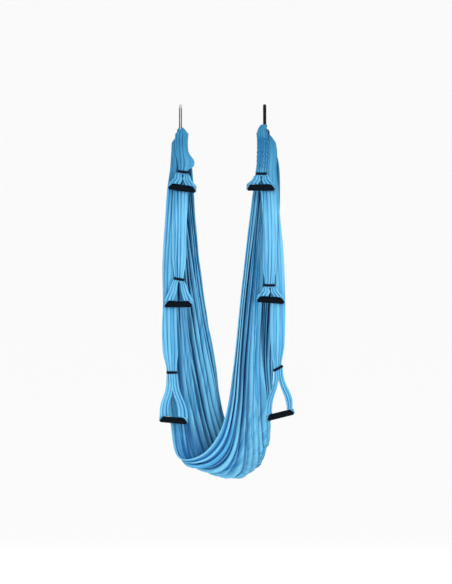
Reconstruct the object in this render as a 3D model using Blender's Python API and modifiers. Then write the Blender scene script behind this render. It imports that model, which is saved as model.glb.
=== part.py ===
"""Aerial hammock: one gathered cloth hung from two carabiners, with six hand loops in front of it.

Metres, +Z up. The hang line runs along X at y = 0. The origin is midway between the inner tops of
the two carabiners, where the overhead anchors pull, and the hammock hangs below it.
"""

import math

import bmesh
import bpy
from mathutils import Matrix, Vector

# Hang line and carabiners
HANG_SPACING = 0.336
ROD_DIAMETER = 0.013
CARABINER_REACH = 0.0955
TOP_ARCH_RADIUS = 0.0175
BASKET_CORNER_RADIUS = 0.012
BASKET_BAR_LENGTH = 0.045

# Spring gates
GATE_DIAMETER = 0.011
GATE_PIN_DIAMETER = 0.003
PIN_BELOW_ARCH = 0.012
NOSE_LENGTH = 0.0108
TONGUE_THICKNESS = 0.0035
EAR_REACH = 0.0035
SPRING_BORE_DIAMETER = 0.0052
SPRING_DIAMETER = 0.0034
SPRING_WIRE_DIAMETER = 0.0007
SPRING_LENGTH = 0.016
SPRING_TURNS = 4
SPRING_TURN_STEPS = 8

# Clearances: between fixed pieces, round turning pieces, and where cuts run past a surface
FIT_GAP = 0.0004
RUN_GAP = 0.0006
OVERRUN = 0.004
MERGE_GAP = 0.00002

# Loops side by side on the basket bar
LOOP_PITCH = 0.011
LOOP_THICKNESS = 0.0094
LOOP_HALF_WIDTH = 0.0145
FAN_START = 0.018
FAN_STEPS = 5

# Rope loops that carry the cloth
ROPE_DIAMETER = 0.007
ROPE_LOOP_DROP = 0.027
ROPE_CORNER_RADIUS = 0.005
ROPE_RUN_LENGTH = 0.024

# Cloth
CLOTH_DROP = 1.486
SEAT_HALF_DEPTH = 0.145
NECK_WIDTH = 0.020
NECK_THICKNESS = 0.014
CLOTH_THICKNESS = 0.009
FOLD_DEPTH = 0.0075
CLOTH_COLUMNS = 15
CLOTH_STATIONS = 38
SLOPE_STEP = 0.02
OPENS_FROM_ROW = 2
OPEN_BY_ROW = 4
NECK_EDGE_SHARE = 0.02
BINDING_HEIGHT = 0.009
BINDING_WALL = 0.002
BINDING_GAP = 0.0005
BINDING_DROP = 0.1375
EYE_TOP = 0.0105

# Hand loops
SLING_HALF_WIDTH = 0.030
SLING_HALF_THICKNESS = 0.0083
SLING_PITCH = 0.0205
NECK_LEAD = 0.05
NECK_HALF_WIDTH = 0.0195
NECK_HALF_THICKNESS = 0.0072
BAND_HEIGHT = 0.010
BAND_WALL = 0.0012
KNUCKLE_RADIUS = 0.009
SETTLE_SHARE = 0.72
TWIST_SHARE = 0.7
STRAND_HALF_WIDTH = 0.013
STRAND_HALF_THICKNESS = 0.005
STRAND_END_THICKNESS = 0.0064
STRAND_END_HALF_WIDTH = 0.0085
STRAND_FOOT_SHARE = 0.95
STRAND_TUCK_SHARE = 0.78
STRAND_BULGE_SHARE = 0.35
STRAND_TAPER_SHARE = 0.8
STRAP_RADIUS = 0.0073
CORE_RADIUS = 0.0093
CORE_BORE_RADIUS = 0.0079
CORE_LENGTH = 0.103
FOAM_RADIUS = 0.0125
FOAM_LENGTH = 0.105
FOAM_EDGE = 0.002
SHORT_GRIP_DROP = 0.3225
MIDDLE_GRIP_DROP = 0.7762
LONG_GRIP_DROP = 1.2352
SHORT_STIRRUP_HEIGHT = 0.060
MIDDLE_STIRRUP_HEIGHT = 0.078
LONG_STIRRUP_HEIGHT = 0.187

# Each hand loop: its layer in front of the cloth, its two driving sizes, then shares of those sizes
# and of half the hang spacing, the outward bow of its sling, and the tilts of band and grip
HANDLE_SHARES = {
    "left_short": (2, SHORT_GRIP_DROP, SHORT_STIRRUP_HEIGHT, 1.003, 1.073, 0.949, 0.958, 0.02, -8, -8),
    "left_middle": (1, MIDDLE_GRIP_DROP, MIDDLE_STIRRUP_HEIGHT, 1.011, 1.277, 1.031, 1.044, 0.04, -10, 0),
    "left_long": (0, LONG_GRIP_DROP, LONG_STIRRUP_HEIGHT, 1.008, 1.014, 1.198, 1.160, 0.20, 0, -5),
    "right_short": (2, SHORT_GRIP_DROP, SHORT_STIRRUP_HEIGHT, 0.997, 0.923, 0.917, 0.905, 0.02, 0, 0),
    "right_middle": (1, MIDDLE_GRIP_DROP, MIDDLE_STIRRUP_HEIGHT, 0.989, 0.742, 1.112, 1.137, 0.05, 0, -4),
    "right_long": (0, LONG_GRIP_DROP, LONG_STIRRUP_HEIGHT, 0.991, 0.988, 1.312, 1.367, 0.16, 28, 14),
}

# How far in front of the hang line the hand loops start: shares of the cloth's drop and seat half depth
FRONT_SHARES = ((0.148, -0.17), (0.215, -0.29), (0.471, -0.48), (0.707, -0.56), (0.841, -0.76))

# The cloth between its left and right necks: x of near edge, belly and far edge as shares of half the
# hang spacing, their drops as shares of the cloth's drop, and the half depth and middle as shares of
# the seat's half depth
CLOTH_SHARES = (
    (-1.205, -0.979, -0.764, 0.149, 0.155, 0.149, 0.16, 0.110),
    (-1.290, -0.967, -0.655, 0.316, 0.316, 0.316, 0.29, 0.050),
    (-1.330, -0.871, -0.455, 0.518, 0.518, 0.518, 0.36, 0.030),
    (-1.315, -0.770, -0.190, 0.693, 0.701, 0.693, 0.42, 0.020),
    (-1.235, -0.590, -0.025, 0.847, 0.868, 0.820, 0.58, 0.010),
    (-1.030, -0.330, 0.271, 0.937, 0.966, 0.895, 0.88, 0.000),
    (-0.500, 0.140, 0.629, 0.932, 0.994, 0.917, 1.00, 0.000),
    (-0.086, 0.640, 0.985, 0.879, 0.955, 0.876, 0.86, 0.000),
    (0.140, 0.771, 1.129, 0.801, 0.828, 0.793, 0.57, 0.010),
    (0.285, 0.748, 1.176, 0.685, 0.685, 0.685, 0.42, 0.020),
    (0.450, 0.830, 1.265, 0.507, 0.507, 0.507, 0.36, 0.030),
    (0.660, 0.940, 1.310, 0.303, 0.303, 0.303, 0.29, 0.050),
    (0.840, 1.020, 1.280, 0.149, 0.155, 0.149, 0.16, 0.110),
)

# Heights of the rings in a sling's eye, in its knuckle and in a strand
EYE_LEVEL_SHARES = (0.97, 0.8, 0.45, 0, -0.5)
KNUCKLE_LEVEL_SHARES = (0.6, 0.3, 0, -0.4, -0.75, -0.96)
STRAND_LEVEL_SHARES = (0, 0.2, 0.4, 0.6, 0.8, 1)

# Facets
RING_SIDES = 24
SMALL_RING_SIDES = 16
SLING_SIDES = 16
SLING_FLUTES = 8
FLUTE_SHARE = 0.12
GRIP_SIDES = 20
STRAND_SIDES = 12
ARCH_STEPS = 8
CORNER_STEPS = 5
ROPE_BEND_STEPS = 8
ROPE_CORNER_STEPS = 3
SHARP_ANGLE = 40

SIDES = {"left": -1, "right": 1}
X, Y, Z = Vector((1, 0, 0)), Vector((0, 1, 0)), Vector((0, 0, 1))

# Derived places
BAR_DROP = CARABINER_REACH
ROD_RADIUS = ROD_DIAMETER / 2
BAR_HOLE_RADIUS = ROD_RADIUS + RUN_GAP
KNUCKLE_CUT_RADIUS = (KNUCKLE_RADIUS + FIT_GAP) / math.cos(math.pi / RING_SIDES)
ROPE_SLOT_Y = LOOP_PITCH + ROPE_DIAMETER

COLOURS = {
    "cloth": ((0.10, 0.42, 0.78, 1), 0.75, 0.0),
    "black_rope": ((0.02, 0.02, 0.022, 1), 0.7, 0.0),
    "black_foam": ((0.018, 0.018, 0.02, 1), 0.85, 0.0),
    "black_band": ((0.02, 0.02, 0.025, 1), 0.7, 0.0),
    "core_plastic": ((0.08, 0.08, 0.09, 1), 0.45, 0.0),
    "bright_steel": ((0.72, 0.73, 0.75, 1), 0.25, 1.0),
    "black_steel": ((0.03, 0.03, 0.035, 1), 0.4, 0.8),
    "spring_steel": ((0.5, 0.5, 0.52, 1), 0.35, 1.0),
}


def clear_scene():
    for old in list(bpy.data.objects):
        bpy.data.objects.remove(old, do_unlink=True)


def make_collection(name):
    collection = bpy.data.collections.new(name)
    bpy.context.scene.collection.children.link(collection)
    return collection


def dress(obj, node, look):
    """Give one object its own material with the look's colour, roughness and metallic value."""
    colour, roughness, metallic = COLOURS[look]
    material = bpy.data.materials.new(node + "_" + look)
    material.use_nodes = True
    shader = material.node_tree.nodes["Principled BSDF"]
    shader.inputs["Base Color"].default_value = colour
    shader.inputs["Roughness"].default_value = roughness
    shader.inputs["Metallic"].default_value = metallic
    obj.data.materials.append(material)


def mix(a, b, share):
    return a + (b - a) * share


def smooth(low, high, value):
    share = min(1, max(0, (value - low) / (high - low)))
    return share * share * (3 - 2 * share)


def read_line(points, at):
    """Straight-line reading of a table of (place, value) pairs."""
    for (p0, v0), (p1, v1) in zip(points, points[1:]):
        if at <= p1:
            return mix(v0, v1, max(0, (at - p0) / (p1 - p0)))
    return points[-1][1]


def add_empty(name, place, parent=None):
    empty = bpy.data.objects.new(name, None)
    parts.objects.link(empty)
    set_place(empty, place, parent)
    return empty


def set_place(obj, place, parent):
    """Put an object at a world place, under a parent that is moved but never turned."""
    world_places[obj.name] = place.copy()
    obj.parent = parent
    obj.location = place - (world_places[parent.name] if parent else Vector((0, 0, 0)))


def add_piece(name, mesh, look, parent=None, place=None, collection=None):
    piece = bpy.data.objects.new(name, mesh)
    (collection or parts).objects.link(piece)
    set_place(piece, place or Vector((0, 0, 0)), parent)
    if look:
        dress(piece, name, look)
    return piece


def hide_cutter(cutter):
    cutter.hide_render = True
    cutter.display_type = "WIRE"


def combine(piece, other, operation):
    modifier = piece.modifiers.new(operation.lower() + "_" + other.name, "BOOLEAN")
    modifier.operation = operation
    modifier.solver = "EXACT"
    modifier.object = other


def loft(name, rings, origin):
    """Closed skin through a row of rings with equal point counts, kept relative to its origin."""
    shape = bmesh.new()
    rows = [[shape.verts.new(point - origin) for point in ring] for ring in rings]
    count = len(rows[0])
    for upper, lower in zip(rows, rows[1:]):
        for i in range(count):
            j = (i + 1) % count
            shape.faces.new((upper[i], upper[j], lower[j], lower[i]))
    shape.faces.new(rows[0])
    shape.faces.new(list(reversed(rows[-1])))
    bmesh.ops.recalc_face_normals(shape, faces=shape.faces)
    return finish_mesh(name, shape)


def finish_mesh(name, shape):
    mesh = bpy.data.meshes.new(name)
    shape.to_mesh(mesh)
    shape.free()
    mesh.shade_smooth()
    mesh.set_sharp_from_angle(angle=math.radians(SHARP_ANGLE))
    return mesh


def oval(middle, along, across, half_along, half_across, sides, flutes=0, flute_share=0):
    """One ring of points, with flutes that stand for gathered folds."""
    ring = []
    for i in range(sides):
        angle = 2 * math.pi * i / sides
        reach = 1 + flute_share * math.cos(flutes * angle)
        offset = along * (half_along * math.cos(angle)) + across * (half_across * math.sin(angle))
        ring.append(middle + offset * reach)
    return ring


def band_mesh(name, inner_along, inner_across, wall, height, sides):
    """Oval band round the local Z axis, with a rectangular section."""
    shape = bmesh.new()
    corners = ((0, height / 2), (wall, height / 2), (wall, -height / 2), (0, -height / 2))
    rows = []
    for grow, level in corners:
        middle = Z * level
        ring = oval(middle, X, Y, inner_along + grow, inner_across + grow, sides)
        rows.append([shape.verts.new(point) for point in ring])
    for upper, lower in zip(rows, rows[1:] + rows[:1]):
        for i in range(sides):
            j = (i + 1) % sides
            shape.faces.new((upper[i], upper[j], lower[j], lower[i]))
    bmesh.ops.recalc_face_normals(shape, faces=shape.faces)
    return finish_mesh(name, shape)


def cylinder_mesh(name, radius, length, axis, sides):
    """Solid cylinder along any axis, about its own middle."""
    shape = bmesh.new()
    bmesh.ops.create_cone(
        shape, cap_ends=True, segments=sides, radius1=radius, radius2=radius, depth=length
    )
    turn = Z.rotation_difference(axis).to_matrix().to_4x4()
    bmesh.ops.transform(shape, matrix=turn, verts=shape.verts)
    return finish_mesh(name, shape)


def cylinder(name, radius, length, middle, axis, sides=RING_SIDES):
    """Cylinder cutter along any axis."""
    mesh = cylinder_mesh(name, radius, length, axis, sides)
    cutter = add_piece(name, mesh, None, None, middle, cutters)
    hide_cutter(cutter)
    return cutter


def block(name, size, middle, turn):
    """Box cutter, turned about its own middle."""
    shape = bmesh.new()
    bmesh.ops.create_cube(shape, size=1)
    bmesh.ops.scale(shape, vec=size, verts=shape.verts)
    bmesh.ops.transform(shape, matrix=turn.to_4x4(), verts=shape.verts)
    cutter = add_piece(name, finish_mesh(name, shape), None, None, middle, cutters)
    hide_cutter(cutter)
    return cutter


def tube_curve(name, points, radius, cyclic=False, bevel_resolution=2):
    curve = bpy.data.curves.new(name, "CURVE")
    curve.dimensions = "3D"
    curve.bevel_depth = radius
    curve.bevel_resolution = bevel_resolution
    curve.use_fill_caps = not cyclic
    spline = curve.splines.new("POLY")
    spline.points.add(len(points) - 1)
    for slot, point in zip(spline.points, points):
        slot.co = (*point, 1)
    spline.use_cyclic_u = cyclic
    return curve


def mesh_from_curve(name, curve):
    """Closed mesh of a tube, ready to be cut."""
    helper = bpy.data.objects.new(name + "_helper", curve)
    parts.objects.link(helper)
    evaluated = helper.evaluated_get(bpy.context.evaluated_depsgraph_get())
    mesh = bpy.data.meshes.new_from_object(evaluated)
    bpy.data.objects.remove(helper, do_unlink=True)
    shape = bmesh.new()
    shape.from_mesh(mesh)
    bmesh.ops.remove_doubles(shape, verts=shape.verts, dist=MERGE_GAP)
    bmesh.ops.recalc_face_normals(shape, faces=shape.faces)
    return finish_mesh(name, shape)


def turned(name, outline, look, parent, place, axis):
    """Turned piece: a closed outline of (radius, height) swept round its own Z axis."""
    mesh = bpy.data.meshes.new(name)
    points = [(radius, 0, height) for radius, height in outline]
    edges = [(i, (i + 1) % len(points)) for i in range(len(points))]
    mesh.from_pydata(points, edges, [])
    piece = add_piece(name, mesh, look, parent, place)
    piece.rotation_mode = "QUATERNION"
    piece.rotation_quaternion = Z.rotation_difference(axis)
    screw = piece.modifiers.new("turn", "SCREW")
    screw.axis = "Z"
    screw.angle = 2 * math.pi
    screw.steps = GRIP_SIDES
    screw.render_steps = GRIP_SIDES
    screw.use_merge_vertices = True
    screw.merge_threshold = MERGE_GAP
    return piece


def arc(middle, radius, start, stop, steps):
    """Points of an arc in the YZ plane, angles in degrees from +Y."""
    points = []
    for i in range(steps + 1):
        angle = math.radians(mix(start, stop, i / steps))
        points.append(middle + Y * (radius * math.cos(angle)) + Z * (radius * math.sin(angle)))
    return points


def gate_line():
    """Outer tangent of the top arch and the basket corner on the gate's side, and its angle."""
    arch = Z * (ROD_RADIUS - TOP_ARCH_RADIUS)
    corner = Y * (BASKET_BAR_LENGTH / 2) + Z * (BASKET_CORNER_RADIUS - BAR_DROP)
    span = corner - arch
    slope = math.atan2(span.z, span.y)
    normal = slope + math.acos((TOP_ARCH_RADIUS - BASKET_CORNER_RADIUS) / span.length)
    outward = Y * math.cos(normal) + Z * math.sin(normal)
    start = arch + outward * TOP_ARCH_RADIUS
    stop = corner + outward * BASKET_CORNER_RADIUS
    return arch, corner, start, stop, math.degrees(normal)


def carabiner_path():
    """Middle line of the bent rod, from the gate pin over the top and round to the nose."""
    arch, corner, start, stop, normal = gate_line()
    run = (stop - start).normalized()
    mirror = Vector((1, -1, 1))
    points = [start + run * (PIN_BELOW_ARCH + EAR_REACH)]
    points += [start + run * (PIN_BELOW_ARCH / 2)]
    points += arc(arch, TOP_ARCH_RADIUS, normal, 180 - normal, ARCH_STEPS)
    points += arc(corner * mirror, BASKET_CORNER_RADIUS, 180 - normal, 270, CORNER_STEPS)
    points += arc(corner, BASKET_CORNER_RADIUS, -90, normal, CORNER_STEPS)
    points += [stop - run * (NOSE_LENGTH - FIT_GAP)]
    return points


def gate_frame(side):
    """Places, directions and lengths that one side's rod, gate and spring are built on."""
    arch, corner, start, stop, normal = gate_line()
    run = (stop - start).normalized()
    middle = X * (SIDES[side] * HANG_SPACING / 2)
    return {
        "middle": middle, "run": run, "pin": middle + start + run * PIN_BELOW_ARCH,
        "tilt": Matrix.Rotation(math.radians(normal), 3, "X"),
        "length": (stop - start).length - PIN_BELOW_ARCH - NOSE_LENGTH,
        "shoulder": math.hypot(EAR_REACH, GATE_DIAMETER / 2) + FIT_GAP,
    }


def make_rod(side, look, frame, pin_hole):
    """Bent rod with a tongue that the gate is pinned to."""
    run, shoulder = frame["run"], frame["shoulder"]
    curve = tube_curve(side + "_rod", carabiner_path(), ROD_RADIUS)
    mesh = mesh_from_curve(side + "_rod", curve)
    rod = add_piece(side + "_carabiner_body", mesh, look, None, frame["middle"])
    cheek = (ROD_DIAMETER - TONGUE_THICKNESS) / 2 + OVERRUN
    size = (cheek, ROD_DIAMETER + OVERRUN, shoulder + EAR_REACH + OVERRUN)
    for hand, word in ((-1, "inner"), (1, "outer")):
        place = frame["pin"] + X * (hand * (TONGUE_THICKNESS + cheek) / 2) - run * (shoulder - size[2] / 2)
        combine(rod, block("%s_cheek_cut_%s" % (side, word), size, place, frame["tilt"]), "DIFFERENCE")
    combine(rod, pin_hole, "DIFFERENCE")


def make_gate(side, look, frame, pin_hole, hinge):
    """Straight gate with a slot over the rod's tongue and a bore for its spring."""
    run, shoulder = frame["run"], frame["shoulder"]
    line = [-run * EAR_REACH, run * (frame["length"] - FIT_GAP)]
    curve = tube_curve(side + "_gate", line, GATE_DIAMETER / 2, bevel_resolution=4)
    mesh = mesh_from_curve(side + "_gate", curve)
    gate = add_piece(side + "_carabiner_gate", mesh, look, hinge, frame["pin"])
    size = (TONGUE_THICKNESS + 2 * FIT_GAP, GATE_DIAMETER + OVERRUN, shoulder + EAR_REACH + OVERRUN)
    place = frame["pin"] + run * (shoulder - size[2] / 2)
    combine(gate, block(side + "_tongue_slot", size, place, frame["tilt"]), "DIFFERENCE")
    combine(gate, pin_hole, "DIFFERENCE")
    length = SPRING_LENGTH + 2 * FIT_GAP + OVERRUN
    place = frame["pin"] + run * (shoulder - OVERRUN + length / 2)
    bore = cylinder(side + "_spring_bore", SPRING_BORE_DIAMETER / 2, length, place, run, SMALL_RING_SIDES)
    combine(gate, bore, "DIFFERENCE")


def make_gate_spring(side, frame, hinge):
    """Coil spring in the gate's bore."""
    run, radius = frame["run"], (SPRING_DIAMETER - SPRING_WIRE_DIAMETER) / 2
    across = run.cross(X).normalized()
    start = frame["shoulder"] + FIT_GAP + SPRING_WIRE_DIAMETER
    steps = SPRING_TURNS * SPRING_TURN_STEPS
    coil = []
    for i in range(steps + 1):
        angle = 2 * math.pi * i / SPRING_TURN_STEPS
        level = start + (SPRING_LENGTH - 2 * SPRING_WIRE_DIAMETER) * i / steps
        coil.append(run * level + (X * math.cos(angle) + across * math.sin(angle)) * radius)
    curve = tube_curve(side + "_gate_spring", coil, SPRING_WIRE_DIAMETER / 2, bevel_resolution=0)
    add_piece(side + "_gate_spring", curve, "spring_steel", hinge, frame["pin"])


def make_carabiner(side, look):
    """Carabiner with a hinged spring gate on its far side and a wide basket below."""
    frame = gate_frame(side)
    radius = GATE_PIN_DIAMETER / 2
    pin_hole = cylinder(
        side + "_pin_cut", radius + FIT_GAP, ROD_DIAMETER + OVERRUN, frame["pin"], X, SMALL_RING_SIDES
    )
    make_rod(side, look, frame, pin_hole)
    hinge = add_empty(side + "_gate_axis", frame["pin"])
    make_gate(side, look, frame, pin_hole, hinge)
    make_gate_spring(side, frame, hinge)
    pin = cylinder_mesh(side + "_gate_pin", radius, GATE_DIAMETER - 2 * FIT_GAP, X, SMALL_RING_SIDES)
    add_piece(side + "_gate_pin", pin, look, None, frame["pin"])


def rope_path():
    """Middle line of a rope loop: over the basket bar and through the cloth's eye."""
    bend = ROD_RADIUS + RUN_GAP + ROPE_DIAMETER / 2
    points = []
    for i in range(ROPE_BEND_STEPS + 1):
        angle = math.pi * i / ROPE_BEND_STEPS
        points.append(Vector((bend * math.cos(angle), 0, bend * math.sin(angle))))
    half = ROPE_RUN_LENGTH / 2
    for hand, first in ((-1, 180), (1, 270)):
        middle = Vector((hand * half, 0, ROPE_CORNER_RADIUS - ROPE_LOOP_DROP))
        for i in range(ROPE_CORNER_STEPS + 1):
            angle = math.radians(first + 90 * i / ROPE_CORNER_STEPS)
            reach = Vector((math.cos(angle), 0, math.sin(angle))) * ROPE_CORNER_RADIUS
            points.append(middle + reach)
    return points


def make_rope_loop(side):
    place = X * (SIDES[side] * HANG_SPACING / 2) + Y * ROPE_SLOT_Y - Z * BAR_DROP
    curve = tube_curve(side + "_end_loop", rope_path(), ROPE_DIAMETER / 2, cyclic=True)
    add_piece(side + "_end_loop", curve, "black_rope", None, place)


def make_binding(side):
    """Whipping round the gathered neck of the cloth, just under its eye."""
    place = X * (SIDES[side] * HANG_SPACING / 2) + Y * ROPE_SLOT_Y - Z * BINDING_DROP
    inner_along = NECK_WIDTH / 2 + BINDING_GAP
    inner_across = NECK_THICKNESS / 2 + BINDING_GAP
    name = side + "_end_binding"
    mesh = band_mesh(name, inner_along, inner_across, BINDING_WALL, BINDING_HEIGHT, RING_SIDES)
    add_piece(name, mesh, "black_rope", None, place)


def spline_row(rows, at):
    """Catmull-Rom reading of a table of rows at a fractional row number."""
    first = min(int(at), len(rows) - 2)
    share = at - first
    picks = [rows[min(max(first + k, 0), len(rows) - 1)] for k in (-1, 0, 1, 2)]
    values = []
    for a, b, c, d in zip(*picks):
        curve = (2 * a - 5 * b + 4 * c - d) * share ** 2 + (3 * (b - c) + d - a) * share ** 3
        values.append((2 * b + (c - a) * share + curve) / 2)
    return values


def neck_rows(hand):
    """Rows of the gathered neck, from its eye down past its binding, in the cloth table's shares."""
    half = NECK_WIDTH / HANG_SPACING
    top = BAR_DROP + ROPE_LOOP_DROP - EYE_TOP
    foot = BINDING_DROP + BINDING_HEIGHT
    rows = []
    for drop in (top, BINDING_DROP, foot):
        share = drop / CLOTH_DROP
        rows.append((hand - half, hand, hand + half, share, share, share, 0, ROPE_SLOT_Y / SEAT_HALF_DEPTH))
    return rows


def cloth_rows():
    return neck_rows(-1) + list(CLOTH_SHARES) + list(reversed(neck_rows(1)))


def cloth_point(row_at, across):
    """Middle surface of the cloth: near edge, belly and far edge joined by one curve."""
    near_x, belly_x, far_x, near_z, belly_z, far_z, depth, middle = spline_row(cloth_rows(), row_at)
    half = HANG_SPACING / 2
    near = Vector((near_x * half, (middle - depth) * SEAT_HALF_DEPTH, -near_z * CLOTH_DROP))
    belly = Vector((belly_x * half, middle * SEAT_HALF_DEPTH, -belly_z * CLOTH_DROP))
    far = Vector((far_x * half, (middle + depth) * SEAT_HALF_DEPTH, -far_z * CLOTH_DROP))
    control = belly * 2 - (near + far) / 2
    rest = 1 - across
    return near * rest * rest + control * (2 * rest * across) + far * across * across


def cloth_ring(row_at):
    """Section of the gathered cloth, round at the necks and folded to and fro below them."""
    last = len(cloth_rows()) - 1
    before, after = max(0, row_at - SLOPE_STEP), min(last, row_at + SLOPE_STEP)
    from_neck = min(row_at, last - row_at)
    open_share = smooth(OPENS_FROM_ROW, OPEN_BY_ROW, from_neck)
    front, back = [], []
    for column in range(CLOTH_COLUMNS):
        across = column / (CLOTH_COLUMNS - 1)
        point = cloth_point(row_at, across)
        along_way = cloth_point(after, across) - cloth_point(before, across)
        before_across, after_across = max(0, across - SLOPE_STEP), min(1, across + SLOPE_STEP)
        across_way = cloth_point(row_at, after_across) - cloth_point(row_at, before_across)
        normal = along_way.cross(across_way).normalized()
        rounding = math.sqrt(max(NECK_EDGE_SHARE, 1 - (2 * across - 1) ** 2))
        half = mix(NECK_THICKNESS / 2 * rounding, CLOTH_THICKNESS / 2, open_share)
        fold = FOLD_DEPTH * open_share * (-1) ** column
        front.append(point + normal * (fold + half))
        back.append(point + normal * (fold - half))
    return front + list(reversed(back))


def make_cloth():
    """The hammock cloth, gathered at both ends over its rope loops."""
    last = len(cloth_rows()) - 1
    rings = [cloth_ring(last * i / (CLOTH_STATIONS - 1)) for i in range(CLOTH_STATIONS)]
    origin = -Z * CLOTH_DROP
    cloth = add_piece("hammock_cloth", loft("hammock_cloth", rings, origin), "cloth", None, origin)
    for side, hand in SIDES.items():
        place = X * (hand * HANG_SPACING / 2) + Y * ROPE_SLOT_Y - Z * (BAR_DROP + ROPE_LOOP_DROP)
        radius = ROPE_DIAMETER / 2 + RUN_GAP
        eye = cylinder(side + "_cloth_eye_cut", radius, 2 * ROPE_RUN_LENGTH, place, X, SMALL_RING_SIDES)
        combine(cloth, eye, "DIFFERENCE")


def front_of_cloth(drop):
    """Largest y that the hand loops may reach at a drop below the hang line."""
    table = [(BAR_DROP + FAN_START, LOOP_PITCH)]
    table += [(share * CLOTH_DROP, depth * SEAT_HALF_DEPTH) for share, depth in FRONT_SHARES]
    return read_line(table, drop)


def fan_share(drop):
    """How far the slings have spread from their loops on the bar to their full thickness."""
    start = BAR_DROP + FAN_START
    return smooth(start, start + (FAN_STEPS - 1) * FAN_START, drop)


def layer_y(layer, drop):
    """Middle y of one layer of slings, which fan out forwards below the bar."""
    return front_of_cloth(drop) - (layer + 1 / 2) * mix(LOOP_PITCH, SLING_PITCH, fan_share(drop))


def fall_length(frame):
    """Height of a sling from under its eye to the top of its band."""
    return frame["bar"].z - LOOP_HALF_WIDTH - frame["band"].z - BAND_HEIGHT / 2


def front_of_slings(name, drop):
    """Largest y that a grip may reach: in front of the cloth and of the longer slings behind it."""
    layer, side = HANDLE_SHARES[name][0], name.split("_")[0]
    fronts = [front_of_cloth(drop) - layer * SLING_PITCH]
    for other, shares in HANDLE_SHARES.items():
        if other.startswith(side) and shares[0] < layer:
            frame = handle_frame(other)
            share = (drop - BAR_DROP - LOOP_HALF_WIDTH) / fall_length(frame)
            middle = sling_middle(frame, min(1, max(0, share)))
            fronts.append(middle.y - SLING_HALF_THICKNESS * (1 + FLUTE_SHARE) - FIT_GAP)
    return min(fronts)


def handle_frame(name):
    """Places and directions that one hand loop is built on."""
    layer, grip_drop, stirrup_height, drop_share, height_share = HANDLE_SHARES[name][:5]
    band_share, grip_share, bow_share, band_tilt, grip_tilt = HANDLE_SHARES[name][5:]
    hand = SIDES[name.split("_")[0]]
    half = hand * HANG_SPACING / 2
    grip_z = -grip_drop * drop_share
    band_z = grip_z + stirrup_height * height_share
    grip_y = front_of_slings(name, -grip_z) - FOAM_RADIUS - FIT_GAP
    band_angle, grip_angle = math.radians(band_tilt), math.radians(grip_tilt)
    band_along = Vector((math.cos(band_angle), 0, math.sin(band_angle)))
    grip_along = Vector((math.cos(grip_angle), 0, math.sin(grip_angle)))
    band = Vector((half * band_share, grip_y, band_z))
    band_up = Vector((-band_along.z, 0, band_along.x))
    knuckle_drop = BAND_HEIGHT / 2 + FIT_GAP + KNUCKLE_RADIUS * KNUCKLE_LEVEL_SHARES[0]
    return {
        "layer": layer, "hand": hand, "bow": half * bow_share,
        "bar": X * half - Z * BAR_DROP, "band": band, "band_along": band_along, "band_up": band_up,
        "knuckle": band - band_up * knuckle_drop,
        "grip": Vector((half * grip_share, grip_y, grip_z)), "grip_along": grip_along,
        "grip_up": Vector((-grip_along.z, 0, grip_along.x)),
    }


def sling_middle(frame, share):
    """Middle line of the sling from under the bar to the top of its band."""
    top = frame["bar"] - Z * LOOP_HALF_WIDTH
    foot = frame["band"] + frame["band_up"] * (BAND_HEIGHT / 2)
    reach = (top.z - foot.z) / 3
    bow = X * frame["bow"]
    lead = frame["band_up"] * SLING_HALF_WIDTH + Z * (reach - SLING_HALF_WIDTH)
    a, b, c, d = top, top - Z * reach + bow, foot + lead + bow, foot
    rest = 1 - share
    point = a * rest ** 3 + b * (3 * rest ** 2 * share) + c * (3 * rest * share ** 2) + d * share ** 3
    settled = smooth(SETTLE_SHARE, 1, share)
    point.y = mix(layer_y(frame["layer"], -point.z), frame["band"].y, settled)
    return point


def fall_drops(fall):
    """Heights of the sling's rings below its loop: close in the fan and at the neck, wide between."""
    fan = [FAN_START * k for k in range(FAN_STEPS + 1)]
    neck = [fall - NECK_LEAD, fall - NECK_LEAD / 2, fall]
    between = neck[0] - fan[-1]
    steps = 1 + round(between / (4 * SLING_HALF_WIDTH))
    return fan + [fan[-1] + between * i / steps for i in range(1, steps)] + neck


def eye_rings(frame):
    """Rings of the sling's loop over the bar, rounded above the bar and straight below it."""
    bar = frame["bar"] + Y * layer_y(frame["layer"], BAR_DROP)
    rings = []
    for level in EYE_LEVEL_SHARES:
        half = LOOP_HALF_WIDTH * math.sqrt(1 - max(0, level) ** 2)
        rings.append(oval(bar + Z * (LOOP_HALF_WIDTH * level), X, Y, half, LOOP_THICKNESS / 2, SLING_SIDES))
    return rings


def fall_rings(frame):
    """Rings of the sling's gathered fall, opening below its loop and closing into its neck."""
    fall = fall_length(frame)
    rings = []
    for drop in fall_drops(fall):
        share = drop / fall
        middle = sling_middle(frame, share)
        open_share = smooth(0, FAN_STEPS * FAN_START, drop)
        close_share = smooth(fall - NECK_LEAD, fall, drop)
        wide = mix(mix(LOOP_HALF_WIDTH, SLING_HALF_WIDTH, open_share), NECK_HALF_WIDTH, close_share)
        full = mix(LOOP_THICKNESS / 2, SLING_HALF_THICKNESS, fan_share(-middle.z))
        thick = mix(full, NECK_HALF_THICKNESS, close_share)
        along = X.lerp(frame["band_along"], smooth(TWIST_SHARE, 1, share)).normalized()
        depth = FLUTE_SHARE * fan_share(-middle.z) * (1 - close_share)
        rings.append(oval(middle, along, Y, wide, thick, SLING_SIDES, SLING_FLUTES, depth))
    return rings


def knuckle_rings(frame):
    """Rings of the rounded knuckle under the band, on which the stirrup turns."""
    rings = []
    for level in KNUCKLE_LEVEL_SHARES:
        middle = frame["knuckle"] + frame["band_up"] * (KNUCKLE_RADIUS * level)
        thick = KNUCKLE_RADIUS * math.sqrt(1 - level * level)
        rings.append(oval(middle, frame["band_along"], Y, NECK_HALF_WIDTH, thick, SLING_SIDES))
    return rings


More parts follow.
